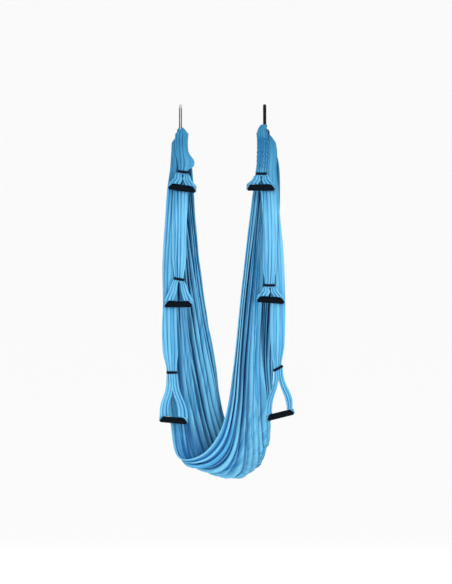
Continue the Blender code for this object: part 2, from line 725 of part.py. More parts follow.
def strand_rings(frame, hand):
    """Rings of one strand of the stirrup, from the grip's end up to the knuckle."""
    along, up = frame["grip_along"], frame["grip_up"]
    half = STRAND_END_THICKNESS / 2
    foot = frame["grip"] + along * (hand * (FOAM_LENGTH / 2 + FIT_GAP + half))
    rings = []
    for level in (-STRAP_RADIUS * STRAND_FOOT_SHARE, 0, FOAM_RADIUS + FIT_GAP):
        rings.append(oval(foot + up * level, along, Y, half, STRAND_END_HALF_WIDTH, STRAND_SIDES))
    low = foot + along * (hand * (half - STRAND_HALF_WIDTH)) + up * (FOAM_RADIUS + FIT_GAP + half)
    top = frame["knuckle"] + frame["band_along"] * (hand * (NECK_HALF_WIDTH - STRAND_HALF_WIDTH))
    top -= frame["band_up"] * (KNUCKLE_RADIUS * STRAND_TUCK_SHARE)
    for share in STRAND_LEVEL_SHARES:
        bulge = STRAND_HALF_WIDTH * STRAND_BULGE_SHARE * math.sin(math.pi * share)
        middle = low.lerp(top, share) + X * (hand * bulge)
        way = along.lerp(frame["band_along"], smooth(0, 1, share)).normalized()
        thinning = smooth(0, 1 / 2, share)
        thick = mix(STRAND_END_HALF_WIDTH * STRAND_TAPER_SHARE, STRAND_HALF_THICKNESS, thinning)
        rings.append(oval(middle, way, Y, STRAND_HALF_WIDTH, thick, STRAND_SIDES))
    return rings


def make_sling(name, frame, swing):
    """Gathered sling with its eye over the basket bar, and the band round its neck."""
    rings = eye_rings(frame) + fall_rings(frame) + knuckle_rings(frame)
    mesh = loft(name + "_sling", rings, frame["bar"])
    sling = add_piece(name + "_sling", mesh, "cloth", swing, frame["bar"])
    bar_hole = cylinder(name + "_bar_cut", BAR_HOLE_RADIUS, BASKET_BAR_LENGTH, frame["bar"], Y)
    combine(sling, bar_hole, "DIFFERENCE")

    inner_along, inner_across = NECK_HALF_WIDTH + FIT_GAP, NECK_HALF_THICKNESS + FIT_GAP
    mesh = band_mesh(name + "_band", inner_along, inner_across, BAND_WALL, BAND_HEIGHT, RING_SIDES)
    band = add_piece(name + "_band", mesh, "black_band", swing, frame["band"])
    band.rotation_euler = (0, -math.atan2(frame["band_along"].z, frame["band_along"].x), 0)


def make_stirrup(name, frame, tip):
    """Two strands and the strap between them, hollowed on top to turn on the knuckle."""
    left = loft(name + "_stirrup", strand_rings(frame, -1), frame["knuckle"])
    right = loft(name + "_strand_right", strand_rings(frame, 1), frame["knuckle"])
    stirrup = add_piece(name + "_stirrup", left, "cloth", tip, frame["knuckle"])
    other = add_piece(name + "_strand_right", right, None, None, frame["knuckle"], cutters)
    hide_cutter(other)
    combine(stirrup, other, "UNION")
    length = FOAM_LENGTH + 2 * FIT_GAP + STRAND_END_THICKNESS
    grip, along = frame["grip"], frame["grip_along"]
    strap = cylinder(name + "_strap", STRAP_RADIUS, length, grip, along, SMALL_RING_SIDES)
    combine(stirrup, strap, "UNION")
    length = 2 * (NECK_HALF_WIDTH + STRAND_HALF_WIDTH)
    knuckle, along = frame["knuckle"], frame["band_along"]
    hollow = cylinder(name + "_knuckle_cut", KNUCKLE_CUT_RADIUS, length, knuckle, along)
    combine(stirrup, hollow, "DIFFERENCE")


def make_grip(name, frame, spin):
    """Foam sleeve on a plastic tube, both free to turn on the strap."""
    half, edge = FOAM_LENGTH / 2, FOAM_EDGE
    bore = CORE_RADIUS + FIT_GAP
    foam = [
        (bore, half), (FOAM_RADIUS - edge, half), (FOAM_RADIUS, half - edge),
        (FOAM_RADIUS, edge - half), (FOAM_RADIUS - edge, -half), (bore, -half),
    ]
    turned(name + "_grip", foam, "black_foam", spin, frame["grip"], frame["grip_along"])
    half = CORE_LENGTH / 2
    core = [(CORE_BORE_RADIUS, half), (CORE_RADIUS, half), (CORE_RADIUS, -half), (CORE_BORE_RADIUS, -half)]
    turned(name + "_grip_core", core, "core_plastic", spin, frame["grip"], frame["grip_along"])


def make_handle(name):
    """One hand loop: sling, band, stirrup and the foam grip on its plastic core."""
    frame = handle_frame(name)
    swing = add_empty(name + "_swing_axis", frame["bar"])
    tip = add_empty(name + "_tip_axis", frame["knuckle"], swing)
    spin = add_empty(name + "_spin_axis", frame["grip"], tip)
    make_sling(name, frame, swing)
    make_stirrup(name, frame, tip)
    make_grip(name, frame, spin)


clear_scene()
parts = make_collection("aerial_hammock")
cutters = make_collection("cutters")
world_places = {}
make_carabiner("left", "bright_steel")
make_carabiner("right", "black_steel")
for each_side in SIDES:
    make_rope_loop(each_side)
    make_binding(each_side)
make_cloth()
for each_handle in HANDLE_SHARES:
    make_handle(each_handle)
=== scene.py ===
"""Aerial hammock, dressed: folded cloth, gathered hand loops, foam grips, rope and steel.

Metres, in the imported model's frame: +Z up, X along the hang line, -Y towards the hand loops.
"""

import math
from types import SimpleNamespace

import bmesh
import bpy
import numpy as np
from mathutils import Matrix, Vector, noise


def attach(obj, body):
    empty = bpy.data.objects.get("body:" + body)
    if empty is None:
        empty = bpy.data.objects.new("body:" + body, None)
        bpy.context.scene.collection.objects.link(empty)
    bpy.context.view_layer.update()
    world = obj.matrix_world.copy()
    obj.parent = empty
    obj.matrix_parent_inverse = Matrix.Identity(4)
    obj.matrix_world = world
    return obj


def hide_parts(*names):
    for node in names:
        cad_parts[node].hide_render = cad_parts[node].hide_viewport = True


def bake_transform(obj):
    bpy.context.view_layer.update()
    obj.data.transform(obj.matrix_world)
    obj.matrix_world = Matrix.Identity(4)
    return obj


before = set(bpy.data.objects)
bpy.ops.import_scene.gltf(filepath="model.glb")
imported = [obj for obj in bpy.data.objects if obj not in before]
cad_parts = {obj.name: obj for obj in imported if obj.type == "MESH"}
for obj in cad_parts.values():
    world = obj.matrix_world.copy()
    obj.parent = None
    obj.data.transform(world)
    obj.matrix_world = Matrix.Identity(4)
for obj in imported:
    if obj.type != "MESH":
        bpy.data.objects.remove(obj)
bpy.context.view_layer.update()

# Photograph: 452 x 584 pixels, 4 mm to a pixel at the hang line
PHOTO_WIDTH, PHOTO_HEIGHT = 452, 584
PIXEL = 0.004
MIDDLE_COLUMN, ANCHOR_ROW = 222.6, 107.5
CAMERA_DISTANCE = 16.0
CAMERA_ELEVATION = 1.0
CAMERA_REACH = 300.0
SENSOR_HEIGHT = 36.0

# White studio, a round floor and backdrop, with a black card at each side for the steel
STAGE_FLOOR = -2.15
STAGE_RADIUS = 60.0
STAGE_INNER_RADIUS = 0.002
STAGE_SWEEP = 10.0
STAGE_TOP = 30.0
CARD_DISTANCE = 2.5
CARD_HALF_HEIGHT = 1.5
CARD_FRONT, CARD_BACK = -3.0, 1.2

# Lamps: place, size and power, all turned to the middle of the hammock
LAMP_TARGET_HEIGHT = -0.75
LAMPS = {
    "key": ((-1.3, -4.6, 2.2), 1.0, 95),
    "fill": ((1.4, -4.8, -0.7), 2.0, 105),
    "rim": ((0.6, 3.6, 1.2), 2.0, 120),
}

# Hang line and carabiners, as in the solids
HANG_SPACING = 0.336
ROD_DIAMETER = 0.013
CARABINER_REACH = 0.0955
BAR_CLEARANCE = 0.0006
TOP_ARCH_RADIUS = 0.0175
BASKET_CORNER_RADIUS = 0.012
BASKET_BAR_LENGTH = 0.045
GATE_DIAMETER = 0.011
PIN_BELOW_ARCH = 0.012
NOSE_LENGTH = 0.0108
NOSE_BEVEL = 0.0007
NOSE_START = 0.004
TONGUE_THICKNESS = 0.0035
TONGUE_BEVEL = 0.0008
SHOULDER_BEVEL = 0.0006
EAR_REACH = 0.0035
ROD_CUT = (0.04, 0.26)

# Loops on the basket bar; a gather gives the points and the folds of a ring of fabric
LOOP_PITCH = 0.011
LOOP_THICKNESS = 0.0094
LOOP_HALF_WIDTH = 0.0145
LOOP_CUT = (0.05, 0.09)
LOOP_STEP = 0.004
LOOP_GATHER = (48, 9)
EYE_FOLD = 0.0006
FAN_START = 0.018
FAN_STEPS = 5

# Rope loops that carry the cloth
ROPE_DIAMETER = 0.007
ROPE_LOOP_DROP = 0.027
ROPE_CORNER_RADIUS = 0.005
ROPE_RUN_LENGTH = 0.024
ROPE_SLACK = 0.0055
ROPE_CUT = (0.01, 0.1)
ROPE_STATIONS = 180
ROPE_TURNS = 5

# Cloth, and the flat sheet that it was cut from
CLOTH_DROP = 1.486
SEAT_HALF_DEPTH = 0.145
NECK_WIDTH = 0.020
NECK_THICKNESS = 0.014
EYE_TOP = 0.0105
CUT_WIDTH = 1.15
CUT_LENGTH = 2.8
HEM_RADIUS = 0.0022
CLOTH_STATIONS = 300
FOLD_COUNT = 13
FOLD_COLUMNS = 24
GATHER_FOLD = 0.0022
LEG_FOLD = 0.024
SEAT_FOLD = 0.013
SPLIT_FOLD = 0.013
CLOTH_CREEP = 0.003
SEAT_SWELL = 0.017
SEAT_LIFT_SHARE = 0.6
FOLD_CURL_SHARE = 0.12
FOLD_SLANT_SHARE = 0.30
CREASE_SHARE = 0.65
# The next three: widths of the painted crease shade lines on the pleats, the split pleats and the slings
CREASE_LINE_SHARE = 0.5
SPLIT_LINE_SHARE = 0.9
SLING_LINE_SHARE = 0.66
CREASE_PINCH_SHARE = 0.07
RIM_SHARE = 0.11

# Rows of the cloth table between which the folds open, slant, and turn their round side outwards
NECK_ROWS = (1.5, 5)
SEAT_ROWS = (6.3, 8.3)
SLANT_START_ROWS = (3, 7.5)
SLANT_END_ROWS = (11.5, 9)
NEAR_TURN_ROWS = (6.5, 8)
TURN_ROWS = (8.7, 10.3)

# Outward swell of the seat, by row of the cloth table with its necks
SEAT_SWELL_SHARES = (
    (5.8, 0), (7.0, -0.5), (8.0, -1.0), (8.5, -0.7), (9.0, 0.15),
    (9.6, 0.8), (10.4, 1), (11.3, 0.8), (12.8, 0),
)

# Whipping of thin cord round each neck of the cloth
BINDING_HEIGHT = 0.009
BINDING_DROP = 0.1375
BINDING_GROWTH = 0.0012
BINDING_CORD_RADIUS = 0.0009
BINDING_TURNS = 6
BINDING_CUT = (0.006, 0.4)

# Slings and the fabric bunched over the front corner of each basket
SLING_HALF_WIDTH = 0.030
SLING_HALF_THICKNESS = 0.0083
SLING_PITCH = 0.0205
SLING_CUT_WIDTH = 0.5
SLING_STEP = 0.006
SLING_GATHER = (240, 9)
SLING_FOLD = 0.0075
SLING_SPREAD = 0.013
SLING_SPREAD_START = 0.012
SLING_SPREAD_DROPS = (0.16, 0.05)
SLING_SWAY = 0.005
SIDE_BULGE = 0.027
CRINKLE = 0.0035
CRINKLE_FADE = 0.02
CRINKLE_END_FADE = 0.03
CAP_FOLD = 0.0046
CAP_FORWARD = 0.034
CAP_HALF_WIDTH = 0.0235
CAP_HALF_DEPTH = 0.0125
CAP_DROP = 0.06
EYE_HALF_WIDTH = 0.016
NECK_LEAD = 0.05
NECK_HALF_WIDTH = 0.0195
NECK_HALF_THICKNESS = 0.0072
NECK_FOLD = 0.0030

# Pale seam: how far its rings stand out, and their levels in loop half widths
SEAM_RINGS = ((0.0002, -0.60), (0.0011, -0.66), (0.0013, -0.72), (0.0011, -0.78), (0.0002, -0.84))
SEAM_CUT = (0.12, 0.004)

# Keeper bands: how far the outline stands out from the neck, and its level in band heights
BAND_HEIGHT = 0.010
BAND_FOLD = 0.0007
BAND_RIB = 0.00022
BAND_CUT = (0.09, 0.03)
BAND_GATHER = (96, 12)
BAND_OUTLINE = (
    (0.0004, -0.5), (0.0014, -0.5), (0.0021, -0.38), (0.0017, -0.15), (0.0016, 0.15),
    (0.0021, 0.38), (0.0014, 0.5), (0.0004, 0.5), (-0.0004, 0.2), (-0.0004, -0.2),
)

# Stirrups and grips
KNUCKLE_RADIUS = 0.009
STRAND_GATHER = (108, 6)
STRAND_STEPS = 26
STRAND_RUN = 0.1
STRAND_HALF_WIDTH = 0.013
STRAND_HALF_THICKNESS = 0.0085
STRAND_END_THICKNESS = 0.0064
STRAND_FOLD = 0.0042
STRAND_TOP_FOLD = 0.0016
STRAND_CUT_WIDTH = 0.12
STRAND_SLACK = 0.013
FOAM_RADIUS = 0.0125
FOAM_LENGTH = 0.105
FOAM_ROUNDING = 0.0028
FOAM_WAVE = 0.0002
FOAM_BORE_RADIUS = 0.0096
FOAM_CLEARANCE = 0.0012
FIT_GAP = 0.0004

# A strand's turn into the end of its grip: outward and up from that end, half width, half thickness, degrees
STRAND_TURN_FOLD = 0.0013
STRAND_TURN = (
    (-0.0135, 0.0115, 0.0125, 0.0125, 35),
    (-0.0085, 0.0070, 0.0128, 0.0138, 55),
    (-0.0030, 0.0028, 0.0118, 0.0130, 72),
    (0.0012, 0, 0.0096, 0.0105, 88),
    (0.0004, 0, 0.0075, 0.0075, 90),
    (-0.0120, 0, 0.0060, 0.0060, 90),
)

# Lengths of hand loop: layer from the cloth, drop of the grip and height of the stirrup
LOOP_LENGTHS = {"short": (2, 0.3225, 0.060), "middle": (1, 0.7762, 0.078), "long": (0, 1.2352, 0.187)}

# Each hand loop: shares of those drops and heights and of half the hang spacing, the outward bow of its
# sling, and the tilts of band and grip in degrees
HANDLE_SHARES = {
    "left_short": (1.003, 1.073, 0.949, 0.958, 0.02, -8, -8),
    "left_middle": (1.011, 1.277, 1.031, 1.044, 0.04, -10, 0),
    "left_long": (1.008, 1.014, 1.198, 1.160, 0.20, 0, -5),
    "right_short": (0.997, 0.923, 0.917, 0.905, 0.02, 0, 0),
    "right_middle": (0.989, 0.742, 1.112, 1.137, 0.05, 0, -4),
    "right_long": (0.991, 0.988, 1.312, 1.367, 0.16, 28, 14),
}

# Strands that don't spread as far along their grip
STRAND_SLACKS = {"left_middle": 0.008, "left_long": 0.010, "right_long": 0.004}

# Fabric bunched over each basket corner: its rise in loop half widths, its width at the top and below, and
# the power by which it widens
CAP_SHARES = {"left": (1.05, 0.36, 1.05, 1.1), "right": (1.9, 0.45, 0.88, 0.3)}

# How far that fabric is shifted from its carabiner, towards the middle on both sides
CAP_SHIFTS = {"left": 0.0055, "right": -0.011}

# How far in front of the hang line the hand loops start
FRONT_SHARES = ((0.148, -0.17), (0.215, -0.29), (0.471, -0.48), (0.707, -0.56), (0.841, -0.76))

# The cloth between its necks: x of near edge, belly and far edge, their drops, half depth and middle
CLOTH_SHARES = (
    (-1.205, -0.979, -0.764, 0.149, 0.155, 0.149, 0.16, 0.110),
    (-1.290, -0.967, -0.655, 0.316, 0.316, 0.316, 0.29, 0.050),
    (-1.330, -0.871, -0.455, 0.518, 0.518, 0.518, 0.36, 0.030),
    (-1.315, -0.770, -0.190, 0.693, 0.701, 0.693, 0.42, 0.020),
    (-1.215, -0.590, -0.025, 0.847, 0.868, 0.820, 0.58, 0.010),
    (-1.030, -0.330, 0.271, 0.937, 0.966, 0.895, 0.88, 0.000),
    (-0.500, 0.140, 0.629, 0.932, 0.994, 0.917, 1.00, 0.000),
    (-0.086, 0.640, 0.985, 0.879, 0.955, 0.876, 0.86, 0.000),
    (0.140, 0.771, 1.129, 0.801, 0.828, 0.793, 0.57, 0.010),
    (0.285, 0.748, 1.176, 0.685, 0.685, 0.685, 0.42, 0.020),
    (0.450, 0.830, 1.265, 0.507, 0.507, 0.507, 0.36, 0.030),
    (0.660, 0.940, 1.335, 0.303, 0.303, 0.303, 0.29, 0.050),
    (0.840, 1.020, 1.315, 0.149, 0.155, 0.149, 0.16, 0.110),
)

# Colours of the fabric and its seam, the painted shade that darkens the fabric high up and the heights
# between which it fades in, the painted crease shade, and the reach of the occlusion that lays it
FABRIC_LIGHT, FABRIC_DEEP = (0.155, 0.475, 0.69), (0.035, 0.26, 0.52)
SEAM_LIGHT, SEAM_DEEP = (0.30, 0.62, 0.78), (0.16, 0.47, 0.66)
PAINTED_HIGH_SHADE = (0.035, 0.21, 0.37)
CREASE_SHADE_COLOUR = (0.001, 0.07, 0.27)
BLACK, WHITE = (0, 0, 0), (1, 1, 1)
HIGH_SHADE_FULL_HEIGHT, HIGH_SHADE_START_HEIGHT = -0.14, -0.42
CREASE_REACH = 0.012

# Height of the relief in each material
DRAPE_RELIEF = 0.004
KNIT_RELIEF = 0.00015
FUZZ_RELIEF = 0.0003
PORE_RELIEF = 0.0004
SCUFF_RELIEF = 0.0006
WEAVE_RELIEF = 0.0005
THREAD_RELIEF = 0.0003
BRUSH_RELIEF = 0.00008
GRAIN_RELIEF = 0.0001

SIDES = {"left": -1, "right": 1}
X, Y, Z = Vector((1, 0, 0)), Vector((0, 1, 0)), Vector((0, 0, 1))
ROD_RADIUS = ROD_DIAMETER / 2
ROPE_SLOT_Y = LOOP_PITCH + ROPE_DIAMETER


def mix(a, b, share):
    return a + (b - a) * share


def smooth(low, high, value):
    share = np.clip((value - low) / (high - low), 0, 1)
    return share * share * (3 - 2 * share)


def add_object(name, data):
    """New object, linked into the scene."""
    made = bpy.data.objects.new(name, data)
    bpy.context.scene.collection.objects.link(made)
    return made


def add_piece(name, mesh, material, body, replaced=()):
    """Dressed piece that rides on a body, when one is given."""
    mesh.materials.append(material)
    piece = add_object(name, mesh)
    if body:
        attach(piece, body)
    if replaced:
        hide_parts(*replaced)
    return piece


def add_tube(name, rows, uv_size, material, body, replaced=(), caps=True):
    """Piece made of closed rings, with ends that are capped or left open."""
    return add_piece(name, grid_mesh(name, rows, True, caps, uv_size), material, body, replaced)


def joined_mesh(name, parts):
    """One smooth mesh out of several, which are used up."""
    shape = bmesh.new()
    for part in parts:
        shape.from_mesh(part)
        bpy.data.meshes.remove(part)
    mesh = bpy.data.meshes.new(name)
    shape.to_mesh(mesh)
    shape.free()
    mesh.shade_smooth()
    return mesh


def angles(count):
    return [2 * math.pi * i / count for i in range(count)]


def grid_mesh(name, rows, closed=False, caps=False, uv_size=None):
    """Smooth mesh over an array of rows of points, with UVs in metres when a size is given.

    A fourth number of a point is the painted crease shade there, from 0 to 1: how deep in a crease it lies.
    """
    rows = np.asarray(rows, float)
    crease_shades, rows = rows[..., 3:], rows[..., :3]
    row_count, column_count = rows.shape[:2]
    spans = column_count if closed else column_count - 1
    faces, corners = [], []
    for i in range(row_count - 1):
        for j in range(spans):
            k = (j + 1) % column_count
            here, beyond = i * column_count, (i + 1) * column_count
            faces.append((here + j, here + k, beyond + k, beyond + j))
            corners += [(j, i), (j + 1, i), (j + 1, i + 1), (j, i + 1)]
    if caps:
        faces.append(tuple(range(column_count))[::-1])
        corners += [(j, 0) for j in range(column_count)][::-1]
        faces.append(tuple(range((row_count - 1) * column_count, row_count * column_count)))
        corners += [(j, row_count - 1) for j in range(column_count)]
    mesh = bpy.data.meshes.new(name)
    mesh.from_pydata(rows.reshape(-1, 3).tolist(), [], faces)
    if uv_size:
        layer = mesh.uv_layers.new(name="cut")
        scale = np.array([uv_size[0] / spans, uv_size[1] / (row_count - 1)])
        layer.data.foreach_set("uv", (np.array(corners) * scale).astype(np.float32).ravel())
    if crease_shades.size:
        layer = mesh.attributes.new("painted_crease_shade", "FLOAT", "POINT")
        layer.data.foreach_set("value", crease_shades.astype(np.float32).ravel())
    mesh.shade_smooth()
    mesh.update()
    return mesh


def crease_shade_line(turn, width_share):
    """Line of painted crease shade: one along the foot of each pleat, and nothing between them."""
    return np.exp(-(np.sin(turn / 2) / width_share) ** 2)


def pleat(turn):
    """Pleat between -1 and 1: round on top, with a sharp crease at its foot."""
    return mix(-np.cos(turn), 2 * np.sqrt(np.sin(turn / 2) ** 2 + 0.003) - 1, CREASE_SHARE)


def two_sided(turn, outer):
    """Pleat whose round ridges face the hollow, or the outside where outer is one."""
    return mix(pleat(turn), -pleat(turn + math.pi), outer)


def ripple(points, scale, seed):
    """Smooth noise at an array of points, by one scale on each axis."""
    flat = np.asarray(points, float).reshape(-1, points.shape[-1]) * np.array(scale)
    shift = Vector((seed * 17.3, seed * 5.1, seed * 9.7))
    values = [noise.noise(Vector((*p, 0)[:3]) + shift) for p in flat]
    return np.array(values).reshape(points.shape[:-1])


# Materials


class Nodes:
    """Node tree of a material or of the world, with a short way to add each kind of node."""

    def __init__(self, owner):
        owner.use_nodes = True
        self.tree = owner.node_tree

    def feed(self, node, inputs):
        """Give each input its value, or link it to the socket that feeds it."""
        for name, value in inputs.items():
            if isinstance(value, bpy.types.NodeSocket):
                self.tree.links.new(value, node.inputs[name])
            else:
                node.inputs[name].default_value = value

    def add(self, kind, inputs, **settings):
        node = self.tree.nodes.new("ShaderNode" + kind)
        for name, value in settings.items():
            setattr(node, name, value)
        self.feed(node, inputs)
        return node.outputs

    def where(self, space):
        return self.add("TexCoord", {})[space]

    def calc(self, operation, *values, **settings):
        return self.add("Math", dict(enumerate(values)), operation=operation, **settings)["Value"]

    def span(self, value, **limits):
        """Map range node, with limits such as from_min."""
        inputs = {name.replace("_", " ").title(): limit for name, limit in limits.items()}
        return self.add("MapRange", {"Value": value, **inputs})["Result"]

    def noise(self, place, scale, detail, roughness=0.5):
        """Noise by one scale, or by one for each axis."""
        if isinstance(scale, tuple):
            place, scale = self.add("Mapping", {"Vector": place, "Scale": scale})["Vector"], 1
        inputs = {"Vector": place, "Scale": scale, "Detail": detail, "Roughness": roughness}
        return self.add("TexNoise", inputs)["Fac"]

    def wave(self, place, direction, scale, distortion):
        inputs = {"Vector": place, "Scale": scale, "Distortion": distortion}
        return self.add("TexWave", inputs, bands_direction=direction)["Fac"]

    def ramp(self, value, *stops):
        node = self.tree.nodes.new("ShaderNodeValToRGB")
        for element, (place, colour) in zip(node.color_ramp.elements, stops):
            element.position = place
            element.color = (*colour, 1)
        self.feed(node, {"Fac": value})
        return node.outputs["Color"]

    def mixed(self, share, first, second):
        inputs = {"Factor": share, "A": first, "B": second}
        return self.add("Mix", inputs, data_type="RGBA")["Result"]

    def bump(self, height, distance, strength, before=None):
        inputs = {"Height": height, "Distance": distance, "Strength": strength}
        if before:
            inputs["Normal"] = before
        return self.add("Bump", inputs)["Normal"]


def new_material(name, colour, roughness, metallic=0.0, specular=0.5):
    """Principled material with its nodes and its shader, ready for more."""
    material = bpy.data.materials.new(name)
    nodes = Nodes(material)
    shader = nodes.tree.nodes["Principled BSDF"]
    nodes.feed(shader, {"Base Color": (*colour, 1), "Roughness": roughness, "Metallic": metallic,
                        "Specular IOR Level": specular})
    return material, nodes, shader


def fabric_material(name, light, deep):
    """Stretch knit: drape lines along the sheet, fine ribs, a soft sheen, and painted shade: deeper blue in
    its creases, and darker towards its top.
    """
    material, nodes, shader = new_material(name, light, 0.62, specular=0.08)
    where = nodes.where("UV")
    lines = nodes.noise(where, (120, 5, 1), 3, 0.6)
    fine = nodes.noise(where, (900, 260, 1), 2, 0.6)
    streaks = nodes.ramp(nodes.noise(where, (46, 2.4, 1), 2, 0.6), (0.38, BLACK), (0.56, WHITE))
    tone = nodes.calc("MULTIPLY_ADD", streaks, 0.4, nodes.noise(where, (9, 1.2, 1), 2))
    dyed = nodes.ramp(tone, (0.35, deep), (0.85, light))
    # Painted shade: the fabric turns darker towards its top, fading in between two heights
    height = nodes.add("SeparateXYZ", {"Vector": nodes.where("Object")})["Z"]
    gathered = nodes.span(height, from_min=HIGH_SHADE_START_HEIGHT, from_max=HIGH_SHADE_FULL_HEIGHT, to_max=0.9)
    dyed = nodes.mixed(gathered, dyed, (*PAINTED_HIGH_SHADE, 1))
    # Painted crease shade: ambient occlusion and the painted crease amount of each point darken the base
    # colour towards the crease shade colour
    open_share = nodes.add("AmbientOcclusion", {"Distance": CREASE_REACH}, samples=6)["AO"]
    depth = nodes.add("Attribute", {}, attribute_name="painted_crease_shade")["Fac"]
    lit = nodes.span(open_share, from_min=0.15, from_max=0.75)
    lit = nodes.calc("MULTIPLY", lit, nodes.calc("SUBTRACT", 1, depth))
    drape = nodes.bump(lines, DRAPE_RELIEF, 0.7)
    knit = nodes.bump(nodes.wave(where, "X", 300, 0.6), KNIT_RELIEF, 0.5, drape)
    nodes.feed(shader, {
        "Base Color": nodes.mixed(lit, (*CREASE_SHADE_COLOUR, 1), dyed),
        "Normal": nodes.bump(fine, FUZZ_RELIEF, 0.5, knit),
        "Sheen Weight": 0.1,
        "Sheen Roughness": 0.4,
        "Sheen Tint": (0.5, 0.8, 1, 1),
    })
    return material


def foam_material(name):
    """Closed-cell black foam with fine pores and scuffed high spots."""
    material, nodes, shader = new_material(name, (0.004, 0.007, 0.011), 0.9, specular=0.08)
    where = nodes.where("Object")
    grain = nodes.noise(where, 260, 4, 0.65)
    pores = nodes.bump(nodes.add("TexVoronoi", {"Vector": where, "Scale": 900})["Distance"], PORE_RELIEF, 0.6)
    nodes.feed(shader, {
        "Base Color": nodes.ramp(grain, (0.3, (0.001, 0.002, 0.004)), (0.75, (0.004, 0.008, 0.013))),
        "Normal": nodes.bump(grain, SCUFF_RELIEF, 0.5, pores),
    })
    return material


def webbing_material(name, colour):
    """Woven elastic or laid cord: fine ribs, with the odd lighter thread."""
    material, nodes, shader = new_material(name, colour, 0.6, specular=0.1)
    where = nodes.where("UV")
    threads = nodes.noise(where, (400, 1400, 1), 2)
    weave = nodes.bump(nodes.wave(where, "Y", 190, 0.4), WEAVE_RELIEF, 0.8)
    nodes.feed(shader, {
        "Base Color": nodes.ramp(threads, (0.35, colour), (0.8, [2.2 * c for c in colour])),
        "Normal": nodes.bump(threads, THREAD_RELIEF, 0.6, weave),
    })
    return material


def steel_material(name, colour, roughness, metallic, wear):
    """Bright or coated steel with fine brushing and worn patches."""
    material, nodes, shader = new_material(name, colour, roughness, metallic, specular=0.12)
    where = nodes.where("Object")
    brushed = nodes.noise(where, (900, 900, 60), 3, 0.6)
    nodes.feed(shader, {
        "Base Color": nodes.ramp(nodes.noise(where, 55, 4, 0.6), (0.45, colour), (0.85, wear)),
        "Roughness": nodes.span(brushed, to_min=max(0.05, roughness - 0.08), to_max=roughness + 0.12),
        "Normal": nodes.bump(brushed, BRUSH_RELIEF, 0.25),
    })
    return material


def plastic_material(name, colour):
    """Moulded plastic with a faint grain."""
    material, nodes, shader = new_material(name, colour, 0.45)
    grain = nodes.noise(nodes.where("Object"), 700, 3)
    nodes.feed(shader, {
        "Base Color": nodes.ramp(grain, (0.4, colour), (0.8, [1.4 * c for c in colour])),
        "Normal": nodes.bump(grain, GRAIN_RELIEF, 0.4),
    })
    return material


def seen_white(nodes):
    """One where a ray comes from the camera or from a mirror-like or clear surface."""
    seen = nodes.add("LightPath", {})
    total = seen["Is Camera Ray"]
    for ray in ("Is Glossy Ray", "Is Transmission Ray"):
        total = nodes.calc("ADD", total, seen[ray], use_clamp=True)
    return total


def stage_material():
    """White studio floor and backdrop that keep the object's shadow."""
    material, nodes, shader = new_material("studio_white", (0.88, 0.88, 0.88), 0.9, specular=0)
    glow = nodes.add("Emission", {"Strength": 1})["Emission"]
    share = nodes.calc("MULTIPLY", seen_white(nodes), 0.85)
    blend = nodes.add("MixShader", {"Fac": share, 1: shader.outputs["BSDF"], 2: glow})["Shader"]
    nodes.feed(nodes.tree.nodes["Material Output"], {"Surface": blend})
    return material


# Cloth


def neck_rows(hand):
    """Rows of the gathered neck, from its eye down past its binding, in the cloth table's shares."""
    half = NECK_WIDTH / HANG_SPACING
    top = CARABINER_REACH + ROPE_LOOP_DROP - EYE_TOP
    rows = []
    for drop in (top, BINDING_DROP, BINDING_DROP + BINDING_HEIGHT):
        share = drop / CLOTH_DROP
        rows.append((hand - half, hand, hand + half, share, share, share, 0, ROPE_SLOT_Y / SEAT_HALF_DEPTH))
    return rows


def cloth_surface(row_at, across):
    """Middle surface of the cloth on a grid: near edge, belly and far edge joined by one curve."""
    rows = np.array(neck_rows(-1) + list(CLOTH_SHARES) + neck_rows(1)[::-1])
    first = np.minimum(row_at.astype(int), len(rows) - 2)
    share = (row_at - first)[:, None]
    a, b, c, d = (rows[np.clip(first + k, 0, len(rows) - 1)] for k in (-1, 0, 1, 2))
    curve = (2 * a - 5 * b + 4 * c - d) * share ** 2 + (3 * (b - c) + d - a) * share ** 3
    table = ((2 * b + (c - a) * share + curve) / 2).T
    depth, middle = table[6:]
    lines = []
    for x, z, side in zip(table[:3], table[3:6], (-1, 0, 1)):
        y = (middle + side * depth) * SEAT_HALF_DEPTH
        lines.append(np.stack([x * HANG_SPACING / 2, y, -z * CLOTH_DROP], -1)[:, None])
    near, belly, far = lines
    control = belly * 2 - (near + far) / 2
    u = across[None, :, None]
    return near * (1 - u) ** 2 + control * (2 * u * (1 - u)) + far * u ** 2


def even_rows(count):
    """Row numbers spaced evenly along the cloth's belly."""
    last = len(CLOTH_SHARES) + 2 * len(neck_rows(1)) - 1
    dense = np.linspace(0, last, 2000)
    belly = cloth_surface(dense, np.array([0.5]))[:, 0]
    run = np.concatenate([[0], np.cumsum(np.linalg.norm(np.diff(belly, axis=0), axis=1))])
    return np.interp(np.linspace(0, run[-1], count), run, dense), last


def unit(vectors):
    return vectors / np.maximum(np.linalg.norm(vectors, axis=-1, keepdims=True), 1e-9)


def pleat_phase(row, places):
    """Place across the pleats, counted in pleats, which drift along the sheet and slant over the seat."""
    u = places[..., 0]
    even = 1 - 0.75 * smooth(0.55, 0.8, u)
    drift = 1.5 * ripple(places, (2.2, 1.6, 1), 1) + 0.8 * even * ripple(places, (6.0, 3.0, 1), 2)
    slant = FOLD_SLANT_SHARE * smooth(*SLANT_END_ROWS, row) * smooth(*SLANT_START_ROWS, row)
    return FOLD_COUNT * (u - slant * smooth(0, 0.7, u)) + drift


def painted_crease_share(turn, split_turn, outer, along_fold):
    """Painted crease shade of each point of the sheet, from 0 to 1: how deep in a crease it lies."""
    lines = []
    for start in (0, math.pi):
        main, fine = (crease_shade_line(at + start, CREASE_LINE_SHARE) for at in (turn, split_turn))
        lines.append(np.maximum(main, SPLIT_LINE_SHARE * fine))
    return mix(*lines, outer) * np.clip(0.8 + 1.2 * ripple(along_fold, (0.9, 1.2, 1), 8), 0, 1)


